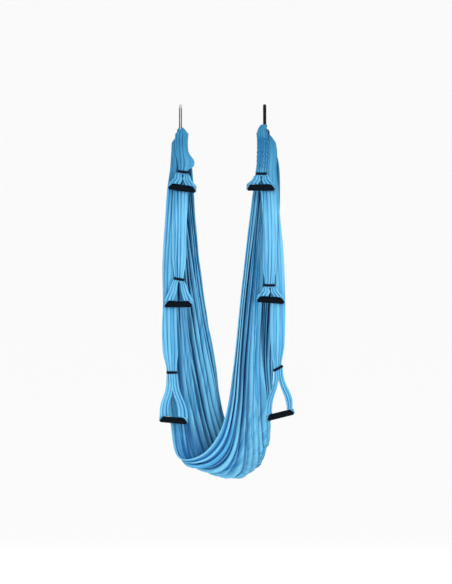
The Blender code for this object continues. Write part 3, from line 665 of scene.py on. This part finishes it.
def folded_cloth():
    """The sheet, laid in deep soft pleats that run from neck to neck and split as they open in the seat, with
    the painted crease shade of each point.
    """
    row_at, last = even_rows(CLOTH_STATIONS)
    row, across_share = row_at[:, None], np.linspace(0, 1, FOLD_COUNT * FOLD_COLUMNS + 1)
    base = cloth_surface(row_at, across_share)
    along, across = unit(np.gradient(base, axis=0)), unit(np.gradient(base, axis=1))
    normal = unit(np.cross(along, across))
    pitch = np.linalg.norm(np.diff(base, axis=1), axis=-1).sum(1)[:, None] / FOLD_COUNT
    run, u = np.broadcast_arrays(np.linspace(0, 1, CLOTH_STATIONS)[:, None], across_share)
    places = np.stack([u, run, np.zeros_like(run)], -1)
    phase = pleat_phase(row, places)
    along_fold = np.stack([phase, run * 6, np.zeros_like(run)], -1)
    turn = 2 * math.pi * phase
    split_turn = 2 * turn + 5 * ripple(places, (2.0, 2.0, 1), 5)
    outer = mix(smooth(0.7, 0.45, u) * smooth(*NEAR_TURN_ROWS, row), 1, smooth(*TURN_ROWS, row))
    from_neck = np.minimum(row, last - row)
    seat = smooth(*SEAT_ROWS, from_neck)
    tall = mix(GATHER_FOLD, mix(LEG_FOLD, SEAT_FOLD, seat), smooth(*NECK_ROWS, from_neck))
    rim = 0.15 + 0.85 * smooth(0, RIM_SHARE, u) * smooth(0, RIM_SHARE, 1 - u)
    height = tall * rim * np.maximum(0.8 + 0.8 * ripple(along_fold, (0.8, 1, 1), 3), 0.6)
    split = mix(0.4 * tall, SPLIT_FOLD, seat) * rim
    split *= np.maximum(0.8 + ripple(along_fold, (1.7, 1, 1), 7), 0.4)
    out = height * two_sided(turn, outer) + split * two_sided(split_turn, outer)
    out += SEAT_LIFT_SHARE * seat * rim * tall
    out -= SEAT_SWELL * np.interp(row, *zip(*SEAT_SWELL_SHARES)) * np.sin(math.pi * u)
    out += CLOTH_CREEP * smooth(2, 5, from_neck) * ripple(places, (34, 7, 1), 6)
    side = height * 1.6 * ripple(places, (3.0, 2.4, 1), 4) * np.cos(turn)
    pinch = CREASE_PINCH_SHARE * np.sin(turn) * (1 - 2 * outer)
    side += pitch * rim * (FOLD_CURL_SHARE * np.sin(2 * turn) - pinch)
    points = base + normal * out[..., None] + across * side[..., None]
    return points, normal, across, painted_crease_share(turn, split_turn, outer, along_fold)


def hem_columns(points, normal, across, edge):
    """Rolled hem outside one rim: a few extra columns round a small circle."""
    way = -1 if edge == 0 else 1
    rim, n, a = points[:, edge], normal[:, edge], across[:, edge]
    columns = []
    for degrees in (300, 240, 180, 120, 60, 0):
        angle = math.radians(degrees)
        out, up = HEM_RADIUS * (1 - math.cos(angle)), HEM_RADIUS * math.sin(angle)
        columns.append(rim + a * (way * out) + n * up)
    return columns if edge == 0 else columns[::-1]


def make_cloth(material):
    points, normal, across, line = folded_cloth()
    near = hem_columns(points, normal, across, 0)[:-1]
    far = hem_columns(points, normal, across, -1)[1:]
    columns = near + [points[:, j] for j in range(points.shape[1])] + far
    # Painted crease shade of each point, none on the hem
    crease_shades = np.pad(line, ((0, 0), (len(near), len(far))))
    rows = np.concatenate([np.stack(columns, 1), crease_shades[..., None]], -1)
    mesh = grid_mesh("cloth_sheet", rows, uv_size=(CUT_WIDTH, CUT_LENGTH))
    cloth = add_piece("cloth_sheet", mesh, material, "hammock", ["hammock_cloth"])


# Hand loops


def front_of_cloth(drop):
    """Largest y that the hand loops may reach at a drop below the hang line."""
    table = [(CARABINER_REACH + FAN_START, LOOP_PITCH)]
    table += [(share * CLOTH_DROP, depth * SEAT_HALF_DEPTH) for share, depth in FRONT_SHARES]
    return float(np.interp(drop, *zip(*table)))


def fan_share(drop):
    start = CARABINER_REACH + FAN_START
    return float(smooth(start, start + (FAN_STEPS - 1) * FAN_START, drop))


def layer_y(layer, drop):
    """Middle y of one layer of slings, which fan out forwards below the bar."""
    return front_of_cloth(drop) - (layer + 1 / 2) * mix(LOOP_PITCH, SLING_PITCH, fan_share(drop))


def tilted(degrees):
    """Direction tilted from X towards Z, and the one square to it."""
    angle = math.radians(degrees)
    along = Vector((math.cos(angle), 0, math.sin(angle)))
    return along, Vector((-along.z, 0, along.x))


def handle_frame(name):
    """Places and directions that one hand loop is built on."""
    drop_share, height_share, band_share, grip_share, bow_share, band_tilt, grip_tilt = HANDLE_SHARES[name]
    side, length = name.split("_")
    layer, grip_drop, stirrup_height = LOOP_LENGTHS[length]
    number = list(HANDLE_SHARES).index(name)
    half = SIDES[side] * HANG_SPACING / 2
    grip_z = -grip_drop * drop_share
    grip_y = front_of_cloth(-grip_z) - layer * SLING_PITCH - FOAM_RADIUS - FIT_GAP
    band_along, band_up = tilted(band_tilt)
    grip_along, grip_up = tilted(grip_tilt)
    band = Vector((half * band_share, grip_y, grip_z + stirrup_height * height_share))
    return SimpleNamespace(
        name=name, side=side, hand=SIDES[side], seed=20 + 7 * number, strand_seed=90 + 11 * number,
        layer=layer, front=layer == 2, bow=half * bow_share, slack=STRAND_SLACKS.get(name, STRAND_SLACK),
        bar=X * half - Z * CARABINER_REACH, band=band, band_along=band_along, band_up=band_up,
        knuckle=band - band_up * (BAND_HEIGHT / 2 + FIT_GAP + KNUCKLE_RADIUS * 0.6),
        grip=Vector((half * grip_share, grip_y, grip_z)), grip_along=grip_along, grip_up=grip_up,
    )


def sling_middle(place, share):
    """Middle line of the sling from under the bar to the top of its band."""
    top = place.bar - Z * LOOP_HALF_WIDTH
    foot = place.band + place.band_up * (BAND_HEIGHT / 2)
    reach = (top.z - foot.z) / 3
    bow = X * place.bow
    lead = place.band_up * SLING_HALF_WIDTH + Z * (reach - SLING_HALF_WIDTH)
    a, b, c, d = top, top - Z * reach + bow, foot + lead + bow, foot
    rest = 1 - share
    point = a * rest ** 3 + b * (3 * rest ** 2 * share) + c * (3 * rest * share ** 2) + d * share ** 3
    point.y = mix(layer_y(place.layer, -point.z), place.band.y, smooth(0.72, 1, share))
    return point


def gathered_ring(middle, along, wide, thick, gather, depth, seed, run):
    """Closed ring of gathered fabric, an oval along one way and Y, whose edge runs in soft folds, with
    painted shade at the foot of each fold.
    """
    sides, folds = gather
    angle = np.array(angles(sides))
    cos, sin = np.cos(angle), np.sin(angle)
    around = np.stack([cos * 1.3, sin * 1.3, np.full(sides, run)], -1)
    drift = 1.1 * ripple(around, (1, 1, 1.4), seed)
    size = 1 + 1.1 * ripple(around, (1.6, 1.6, 5), seed + 1)
    body = np.outer(wide * cos, along) + np.outer(thick * sin, Y)
    steps = np.linalg.norm(body - np.roll(body, 1, axis=0), axis=1)
    turn = folds * 2 * math.pi * np.cumsum(steps) / steps.sum() + 1.3 * drift
    out = depth * size * (pleat(turn) + 0.25 * np.sin(2 * turn + 3 * drift))
    slide = -0.45 * depth * np.sin(turn)
    points = np.array(middle) + body + np.outer(out * cos - slide * sin, along)
    points += np.outer(out * sin + slide * cos, Y)
    # Painted crease shade at the foot of each fold, stronger in some places than in others
    shade_shown = np.clip(0.8 + 1.2 * ripple(around, (1.6, 1.6, 9), seed + 2), 0, 1)
    return np.column_stack([points, crease_shade_line(turn, SLING_LINE_SHARE) * shade_shown])


def sling_sizes(place, drop, fall):
    """Half width, half thickness and fold depth of the sling at a drop below its top."""
    open_share = smooth(0, (FAN_STEPS if place.front else 2) * FAN_START, drop)
    close_share = smooth(fall - 1.6 * NECK_LEAD, fall, drop)
    cap = CAP_HALF_WIDTH * CAP_SHARES[place.side][2]
    narrow, widest = (cap, cap * 1.08) if place.front else (EYE_HALF_WIDTH, SLING_HALF_WIDTH)
    wide = mix(mix(narrow, widest, open_share), NECK_HALF_WIDTH, close_share)
    full = mix(LOOP_THICKNESS / 2, SLING_HALF_THICKNESS, fan_share(drop + CARABINER_REACH + LOOP_HALF_WIDTH))
    depth = mix(mix(CAP_FOLD if place.front else EYE_FOLD, SLING_FOLD, open_share), NECK_FOLD, close_share)
    depth = mix(depth, BAND_FOLD, smooth(fall - BAND_HEIGHT, fall, drop))
    if place.front:
        full = mix(full, CAP_HALF_DEPTH, smooth(CAP_DROP, 0, drop))
    if place.name == "right_short":
        depth = min(depth, CAP_FOLD)
    return wide, mix(full, NECK_HALF_THICKNESS, close_share), depth


def cap_ring(place, rise, grow=0):
    """One ring of the fabric bunched over a basket corner, by its rise in loop half widths."""
    top, narrow, widest, widen = CAP_SHARES[place.side]
    down = min(1, (top - rise) / (top + 0.86))
    size = mix(narrow, 1, down ** widen) * min(1, 0.25 + 14 * down)
    middle = place.bar + Z * (LOOP_HALF_WIDTH * rise) - Y * CAP_FORWARD
    middle.x += CAP_SHIFTS[place.side] * smooth(1.3 * top, 0, rise)
    depth = CAP_FOLD * size
    size *= mix(0.88, 1, smooth(0.3, -0.86, rise))
    wide = CAP_HALF_WIDTH * widest * size - 0.8 * depth + grow
    thick = CAP_HALF_DEPTH * min(1, size * 1.25) - 0.5 * depth + grow
    return gathered_ring(middle, X, wide, thick, SLING_GATHER, depth, place.seed, 0)


def cap_rings(place):
    """Fabric bunched over the front corner of the carabiner's basket, above the foremost sling."""
    top = CAP_SHARES[place.side][0]
    return [cap_ring(place, top - (top + 0.9) * (i / 24) ** 1.4) for i in range(25)]


def make_seam(place, material):
    """Pale stitched edge round the fabric, just under the corner of the basket."""
    rows = [cap_ring(place, level, grow) for grow, level in SEAM_RINGS]
    add_tube(place.name + "_seam", rows, SEAM_CUT, material, place.name + "_sling", caps=False)


def crinkle(ring, drop, fall):
    """Small crossed puckers, pushed out from the middle of one ring of a sling, with painted shade along
    their creases.
    """
    angle = np.arctan2(ring[:, 1], ring[:, 0])
    share = smooth(0, CRINKLE_FADE, drop) * smooth(fall, fall - CRINKLE_END_FADE, drop)
    first, second = np.sin(4 * angle + 200 * drop), np.sin(5 * angle - 170 * drop + 1)
    lines = np.exp(-(first / 0.3) ** 2) + np.exp(-(second / 0.3) ** 2)
    push = unit(ring) * (CRINKLE * share * (0.3 - lines))[:, None]
    return np.column_stack([push, 0.9 * lines * share])


def sling_ring(place, share, fall):
    """One ring of a sling, at a share of its fall from the bar to its band."""
    drop = fall * share
    middle = sling_middle(place, share)
    if place.front:
        middle.y = mix(middle.y, -CAP_FORWARD, smooth(CAP_DROP, 0, drop))
        middle.x += CAP_SHIFTS[place.side] * (1 - share)
    else:
        spread = smooth(-SLING_SPREAD_START, SLING_SPREAD_START, drop) * smooth(*SLING_SPREAD_DROPS, drop)
        middle.x += SLING_SPREAD * (place.hand > 0) * spread
        middle.x += SLING_SWAY * math.sin(math.pi * share)
    wide, thick, depth = sling_sizes(place, drop, fall)
    along = X.lerp(place.band_along, smooth(0.7, 1, share)).normalized()
    wide_in, thick_in = wide - depth * 0.8, thick - depth * 0.5
    ring = gathered_ring(middle, along, wide_in, thick_in, SLING_GATHER, depth, place.seed, drop)
    if place.name == "left_short":
        bulge = SIDE_BULGE * smooth(0.46, 0.78, share) * smooth(1.0, 0.85, share)
        ring[:, 0] += bulge * np.clip((ring[:, 0] - middle.x) / wide, 0, 1) ** 1.4
    if place.name == "right_short":
        ring += crinkle(ring[:, :3] - np.array(middle), drop, fall)
    return ring


def make_sling(place, material):
    """Gathered fabric from the bar down through its band, to where the strands part."""
    name = place.name
    fall = place.bar.z - LOOP_HALF_WIDTH - place.band.z - BAND_HEIGHT / 2
    count = max(30, round(fall / SLING_STEP))
    rings = cap_rings(place) if place.front else []
    rings += [sling_ring(place, i / count, fall) for i in range(count + 1)]
    wide, thick = NECK_HALF_WIDTH - BAND_FOLD, NECK_HALF_THICKNESS - BAND_FOLD
    for level, size in ((0.2, 1.0), (0.7, 1.0), (1.2, 0.92), (1.5, 0.7), (1.62, 0.35)):
        middle = place.band - place.band_up * (BAND_HEIGHT * level - BAND_HEIGHT / 2)
        rings.append(gathered_ring(middle, place.band_along, wide * size, thick * size, SLING_GATHER,
                                   BAND_FOLD * size, place.seed, fall))
    add_tube(name + "_fall", rings, (SLING_CUT_WIDTH, fall), material, name + "_sling",
             [name + "_sling"])


def make_eye(place, material):
    """Turn of gathered fabric over the carabiner's bar, sewn into the sling under it."""
    bar = place.bar + Y * layer_y(place.layer, CARABINER_REACH)
    inner = ROD_RADIUS + BAR_CLEARANCE
    radial = (LOOP_HALF_WIDTH - inner) / 2
    around = inner + radial
    legs = [(0.75 * around, -1.7 * LOOP_HALF_WIDTH), (around, -0.8 * LOOP_HALF_WIDTH)]
    path = [(-x, z) for x, z in legs]
    for i in range(13):
        angle = math.pi * (1 - i / 12)
        path.append((around * math.cos(angle), around * math.sin(angle)))
    path += legs[::-1]
    rings, wide, thick = [], radial - EYE_FOLD, LOOP_THICKNESS / 2 - EYE_FOLD
    for i, (x, z) in enumerate(path):
        (x0, z0), (x1, z1) = path[max(i - 1, 0)], path[min(i + 1, len(path) - 1)]
        side = Vector((z0 - z1, 0, x1 - x0)).normalized()
        middle = bar + X * x + Z * z
        rings.append(gathered_ring(middle, side, wide, thick, LOOP_GATHER, EYE_FOLD, 5, i * LOOP_STEP))
    add_tube(place.name + "_eye", rings, LOOP_CUT, material, place.name + "_sling")


def strand_rings(place, hand):
    """Rings of one gathered strand, from under the band to the end of the grip."""
    along, up, long = place.grip_along, place.grip_up, "long" in place.name
    gather, seed = STRAND_GATHER, place.strand_seed + hand
    end = place.grip + along * (hand * FOAM_LENGTH / 2)
    start = place.band - place.band_up * (BAND_HEIGHT * 0.3)
    start += place.band_along * (hand * (NECK_HALF_WIDTH - STRAND_HALF_WIDTH * 0.75))
    low = end + along * (hand * (STRAND_END_THICKNESS - STRAND_HALF_WIDTH))
    low += up * (FOAM_RADIUS + FOAM_CLEARANCE)
    rings = []
    for i in range(STRAND_STEPS + 1):
        share = i / STRAND_STEPS
        bow = -0.5 * math.sin(2 * math.pi * share) if long else 0.12 * math.sin(math.pi * share)
        middle = start.lerp(low, share) + X * (hand * STRAND_HALF_WIDTH * bow)
        middle -= along * (hand * place.slack * smooth(0.1, 0.6, share))
        way = place.band_along.lerp(along, smooth(0, 1, share)).normalized()
        wide = mix(NECK_HALF_WIDTH * 0.52, STRAND_HALF_WIDTH + place.slack, share ** (0.45 if long else 0.7))
        if place.name == "right_long":
            wide *= mix(1, 0.76, smooth(0.7, 1, share))
        thick = mix(NECK_HALF_THICKNESS * 0.9, STRAND_HALF_THICKNESS, smooth(0.3, 1, share))
        fold = mix(STRAND_TOP_FOLD, STRAND_FOLD, smooth(0, 0.4, share) * smooth(1.1, 0.7, share))
        wide, thick = wide - fold, thick - fold / 2
        rings.append(gathered_ring(middle, way, wide, thick, gather, fold, seed, share * STRAND_RUN))
    for x, z, wide, thick, degrees in STRAND_TURN:
        angle = math.radians(degrees)
        way = (along * math.cos(angle) - up * (hand * math.sin(angle))).normalized()
        middle = end + along * (hand * (x + STRAND_END_THICKNESS / 2)) + up * z
        rings.append(gathered_ring(middle, way, wide, thick, gather, STRAND_TURN_FOLD, seed, STRAND_RUN))
    return rings


def make_stirrup(place, material):
    """Two strands of gathered fabric that turn into the ends of the grip."""
    name = place.name
    cut = (STRAND_CUT_WIDTH, (place.band - place.grip).length + FOAM_RADIUS)
    halves = (grid_mesh(name + "_strand", strand_rings(place, hand), True, True, cut)
              for hand in SIDES.values())
    mesh = joined_mesh(name + "_strands", halves)
    strands = add_piece(name + "_strands", mesh, material, None, [name + "_stirrup"])
    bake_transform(strands)


def make_grip(place, foam, core):
    """Foam sleeve with softly rounded ends, and the dressed plastic core in it."""
    name, half, turn = place.name, FOAM_LENGTH / 2, Z.rotation_difference(place.grip_along).to_matrix()
    end = [(FOAM_BORE_RADIUS, half)]
    for degrees in (0, 25, 50, 75, 90):
        angle = math.radians(degrees)
        end.append((FOAM_RADIUS - FOAM_ROUNDING * (1 - math.sin(angle)),
                    half - FOAM_ROUNDING * (1 - math.cos(angle))))
    side = [(FOAM_RADIUS - FOAM_WAVE * math.sin(3 * i), half * 0.94 * (1 - i / 5)) for i in range(11)]
    outline = end + side + [(radius, -height) for radius, height in end[::-1]]
    rows = []
    for radius, height in outline + outline[:1]:
        ring = [Vector((radius * math.cos(at), radius * math.sin(at), height)) for at in angles(64)]
        rows.append([place.grip + turn @ spot for spot in ring])
    cut = (2 * math.pi * FOAM_BORE_RADIUS, FOAM_LENGTH)
    body = name + "_grip"
    sleeve = add_tube(name + "_foam", rows, cut, foam, body, [body], caps=False)
    sleeve.data.set_sharp_from_angle(angle=math.radians(60))
    dress(name + "_grip_core", core)


def make_band(place, material):
    """Woven elastic keeper, drawn tight round the gathered neck with soft rolled edges."""
    name, rows = place.name, []
    for grow, level in BAND_OUTLINE + BAND_OUTLINE[:1]:
        middle = place.band + place.band_up * (level * BAND_HEIGHT)
        wide, thick = NECK_HALF_WIDTH + FIT_GAP + grow, NECK_HALF_THICKNESS + FIT_GAP + grow
        rows.append(gathered_ring(middle, place.band_along, wide, thick, BAND_GATHER, BAND_RIB, 8, 0))
    body, node = name + "_sling", name + "_band"
    add_tube(name + "_keeper", rows, BAND_CUT, material, body, [node], caps=False)


# Rope, bindings and steel


def dress(node, material):
    """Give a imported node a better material."""
    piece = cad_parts[node]
    slots = piece.material_slots
    if slots:
        slots[0].material = material
    else:
        piece.data.materials.append(material)


def directions(path):
    """Direction of a path of points at each of them."""
    return [(after - before).normalized() for before, after in zip(path[:1] + path, path[1:] + path[-1:])]


def arc(middle, radius, start, stop, steps):
    """Points of an arc in the YZ plane, angles in degrees from +Y."""
    points = []
    for i in range(steps + 1):
        angle = math.radians(mix(start, stop, i / steps))
        points.append(middle + Y * (radius * math.cos(angle)) + Z * (radius * math.sin(angle)))
    return points


def carabiner_path():
    """Middle line of the bent rod, from the gate pin's tongue over the top and round to the nose."""
    arch = Z * (ROD_RADIUS - TOP_ARCH_RADIUS)
    corner = Y * (BASKET_BAR_LENGTH / 2) + Z * (BASKET_CORNER_RADIUS - CARABINER_REACH)
    span = corner - arch
    normal = math.atan2(span.z, span.y) + math.acos((TOP_ARCH_RADIUS - BASKET_CORNER_RADIUS) / span.length)
    outward = Y * math.cos(normal) + Z * math.sin(normal)
    start, stop = arch + outward * TOP_ARCH_RADIUS, corner + outward * BASKET_CORNER_RADIUS
    run, degrees = (stop - start).normalized(), math.degrees(normal)
    shoulder = math.hypot(EAR_REACH, GATE_DIAMETER / 2) + FIT_GAP
    tongue = [EAR_REACH, EAR_REACH - TONGUE_BEVEL, 0, FIT_GAP - shoulder, -shoulder - SHOULDER_BEVEL]
    points = [start + run * (PIN_BELOW_ARCH + step) for step in tongue + [-PIN_BELOW_ARCH * 0.75]]
    points += arc(arch, TOP_ARCH_RADIUS, degrees, 180 - degrees, 32)
    front = arc(corner * Vector((1, -1, 1)), BASKET_CORNER_RADIUS, 180 - degrees, 270, 20)
    points += [points[-1].lerp(front[0], i / 12) for i in range(1, 12)] + front
    points += arc(corner, BASKET_CORNER_RADIUS, -90, degrees, 20)
    nose = NOSE_LENGTH - FIT_GAP
    return points + [stop - run * step for step in (NOSE_START, nose - NOSE_BEVEL, nose)], len(tongue) - 1


def rope_line():
    """Even points along a rope loop, over the bar and through the cloth's eye, and their directions."""
    bend, half = ROD_RADIUS + BAR_CLEARANCE + ROPE_DIAMETER / 2, Y * (ROPE_RUN_LENGTH / 2)
    low = Z * (ROPE_CORNER_RADIUS - ROPE_LOOP_DROP)
    points = arc(Vector(), bend, 0, 180, 16)
    points += arc(low - half, ROPE_CORNER_RADIUS, 180, 270, 6)
    points += arc(low + half, ROPE_CORNER_RADIUS, 270, 360, 6)
    line = np.array([p.yxz for p in points + points[:1]])
    run = np.concatenate([[0], np.cumsum(np.linalg.norm(np.diff(line, axis=0), axis=1))])
    even = np.linspace(0, run[-1], ROPE_STATIONS + 1)
    line = np.stack([np.interp(even, run, line[:, k]) for k in range(3)], -1)
    loose = smooth(0, bend, line[:, 0]) * smooth(-ROPE_LOOP_DROP, 0, line[:, 2]) * smooth(bend, 0, line[:, 2])
    line[:, 0] += ROPE_SLACK * loose
    return line, unit(np.roll(line[:-1], -1, axis=0) - np.roll(line[:-1], 1, axis=0))


def rope_strand(side, first):
    """One strand of the rope, wound round its middle line, by how far round it starts."""
    middle = np.array((SIDES[side] * HANG_SPACING / 2, ROPE_SLOT_Y, -CARABINER_REACH))
    line, runs = rope_line()
    radius = ROPE_DIAMETER / 2 / (1 + 2 / math.sqrt(3))
    around = np.array(angles(14))
    rows = []
    for i in range(ROPE_STATIONS + 1):
        turn = 2 * math.pi * (ROPE_TURNS * i / ROPE_STATIONS + first)
        up = np.cross(runs[i % ROPE_STATIONS], Y)
        heart = (np.array(Y) * math.cos(turn) + up * math.sin(turn)) * (ROPE_DIAMETER / 2 - radius)
        ring = np.outer(np.cos(around), Y) + np.outer(np.sin(around), up)
        rows.append(middle + line[i] + heart + radius * ring)
    return grid_mesh(side + "_strand", rows, closed=True, uv_size=ROPE_CUT)


def make_rope(side, material):
    """Three-strand rope loop, spliced round, that carries the cloth on the basket bar."""
    mesh = joined_mesh(side + "_rope", (rope_strand(side, i / 3) for i in range(3)))
    add_piece(side + "_rope", mesh, material, "hammock", [side + "_end_loop"])


def make_rod(side, material):
    """Smooth bent rod of a carabiner, with the flat tongue that carries its gate."""
    path, flat = carabiner_path()
    middle = X * (SIDES[side] * HANG_SPACING / 2)
    rows = []
    for i, (point, run) in enumerate(zip(path, directions(path))):
        up = run.cross(X)
        size = ROD_RADIUS * (0.86 if i in (0, len(path) - 1) else 1)
        wide = TONGUE_THICKNESS / 2 if i < flat else size
        spots = [X * (wide * math.cos(at)) + up * (size * math.sin(at)) for at in angles(40)]
        rows.append([middle + point + spot for spot in spots])
    rod = add_tube(side + "_rod", rows, ROD_CUT, material, "hammock", [side + "_carabiner_body"])
    rod.data.set_sharp_from_angle(angle=math.radians(50))


def make_binding(side, material):
    """Whipping of thin cord, wound round the gathered neck of the cloth."""
    middle = X * (SIDES[side] * HANG_SPACING / 2) + Y * ROPE_SLOT_Y - Z * BINDING_DROP
    wide, thick = NECK_WIDTH / 2 + BINDING_GROWTH, NECK_THICKNESS / 2 + BINDING_GROWTH
    top = BINDING_HEIGHT / 2 - BINDING_CORD_RADIUS
    path = []
    for i in range(BINDING_TURNS * 24 + 1):
        angle = 2 * math.pi * i / 24
        height = mix(-top, top, i / (BINDING_TURNS * 24))
        path.append(middle + Vector((wide * math.cos(angle), thick * math.sin(angle), height)))
    rows, sideways = [], X
    for point, run in zip(path, directions(path)):
        sideways = (sideways - run * sideways.dot(run)).normalized()
        up = run.cross(sideways)
        ring = [sideways * math.cos(at) + up * math.sin(at) for at in angles(10)]
        rows.append([point + spot * BINDING_CORD_RADIUS for spot in ring])
    node = side + "_end_binding"
    add_tube(side + "_whipping", rows, BINDING_CUT, material, "hammock", [node])


# Studio


def add_stage(name, rows, material, closed=False):
    """Piece of the studio, which is no part of the object."""
    piece = add_object(name, grid_mesh("studio", rows, closed))
    piece.data.materials.append(material)
    return piece


def make_stage():
    """Round white floor that sweeps up into a backdrop on all sides, and the two black cards."""
    profile = [(STAGE_INNER_RADIUS, STAGE_FLOOR), (STAGE_RADIUS - STAGE_SWEEP, STAGE_FLOOR)]
    for i in range(1, 9):
        angle = math.pi / 2 * i / 8
        profile.append((STAGE_RADIUS - STAGE_SWEEP * (1 - math.sin(angle)),
                        STAGE_FLOOR + STAGE_SWEEP * (1 - math.cos(angle))))
    profile.append((STAGE_RADIUS, STAGE_TOP))
    rows = [[(radius * math.cos(at), radius * math.sin(at), height) for at in angles(96)]
            for radius, height in profile]
    add_stage("studio", rows, stage_material(), closed=True)
    black = new_material("studio_black", (0.01, 0.01, 0.01), 0.9, specular=0)[0]
    for hand in SIDES.values():
        rows = [[(hand * CARD_DISTANCE, y, z) for z in (-CARD_HALF_HEIGHT, CARD_HALF_HEIGHT)]
                for y in (CARD_FRONT, CARD_BACK)]
        card = add_stage("studio_flag_" + str(hand), rows, black)
        card.visible_camera = card.visible_diffuse = card.visible_shadow = card.visible_transmission = False


def make_lamps():
    """Soft lamps in front, high and low, and one behind, which the steel doesn't mirror."""
    for name, (place, size, power) in LAMPS.items():
        data = bpy.data.lights.new(name, "AREA")
        data.shape = "DISK"
        data.size = size
        data.energy = power
        light = add_object(name, data)
        light.location = place
        light.visible_glossy = False
        light.rotation_euler = (Z * LAMP_TARGET_HEIGHT - Vector(place)).to_track_quat("-Z", "Y").to_euler()


def make_world():
    """Plain white world, a little darker as a lamp than as a background."""
    world = bpy.data.worlds.new("studio_world")
    bpy.context.scene.world = world
    nodes = Nodes(world)
    level = nodes.span(seen_white(nodes), to_min=0.9, to_max=1.0)
    nodes.feed(nodes.tree.nodes["Background"], {"Color": (1, 1, 1, 1), "Strength": level})


def make_camera():
    """Level long-lens view from the front, framed as the photograph is."""
    data = bpy.data.cameras.new("photo_view")
    camera = add_object("photo_view", data)
    data.sensor_fit = "VERTICAL"
    data.sensor_height = SENSOR_HEIGHT
    data.lens = SENSOR_HEIGHT * CAMERA_DISTANCE / (PHOTO_HEIGHT * PIXEL)
    data.clip_end = CAMERA_REACH
    middle = Vector(((PHOTO_WIDTH / 2 - MIDDLE_COLUMN) * PIXEL, 0, (ANCHOR_ROW - PHOTO_HEIGHT / 2) * PIXEL))
    angle = math.radians(CAMERA_ELEVATION)
    camera.location = middle + Vector((0, -math.cos(angle), math.sin(angle))) * CAMERA_DISTANCE
    camera.rotation_euler = (math.radians(90) - angle, 0, 0)
    bpy.context.scene.camera = camera


make_camera()
make_stage()
make_lamps()
make_world()
bpy.context.scene.view_settings.view_transform = "Standard"

fabric = fabric_material("blue_knit", FABRIC_LIGHT, FABRIC_DEEP)
pale = fabric_material("pale_seam", SEAM_LIGHT, SEAM_DEEP)
rope = webbing_material("black_cord", (0.015, 0.015, 0.017))
elastic = webbing_material("black_elastic", (0.003, 0.004, 0.010))
foam = foam_material("grip_foam")
core = plastic_material("core_tube", (0.06, 0.06, 0.065))
bright = steel_material("bright_steel_polish", (0.66, 0.67, 0.69), 0.10, 1.0, (0.50, 0.51, 0.53))
black = steel_material("black_coated_steel", (0.005, 0.005, 0.006), 0.38, 0.0, (0.012, 0.012, 0.013))
spring = steel_material("spring_steel_wire", (0.5, 0.5, 0.52), 0.3, 1.0, (0.35, 0.35, 0.36))

make_cloth(fabric)
for handle in HANDLE_SHARES:
    place = handle_frame(handle)
    make_sling(place, fabric)
    if place.front:
        make_seam(place, pale)
    make_eye(place, fabric)
    make_stirrup(place, fabric)
    make_grip(place, foam, core)
    make_band(place, elastic)
for side, steel, slot in (("left", bright, "bright_steel"), ("right", black, "black_steel")):
    make_binding(side, rope)
    make_rope(side, rope)
    make_rod(side, steel)
    for part in ("_carabiner_gate", "_gate_pin"):
        dress(side + part, steel)
    dress(side + "_gate_spring", spring)
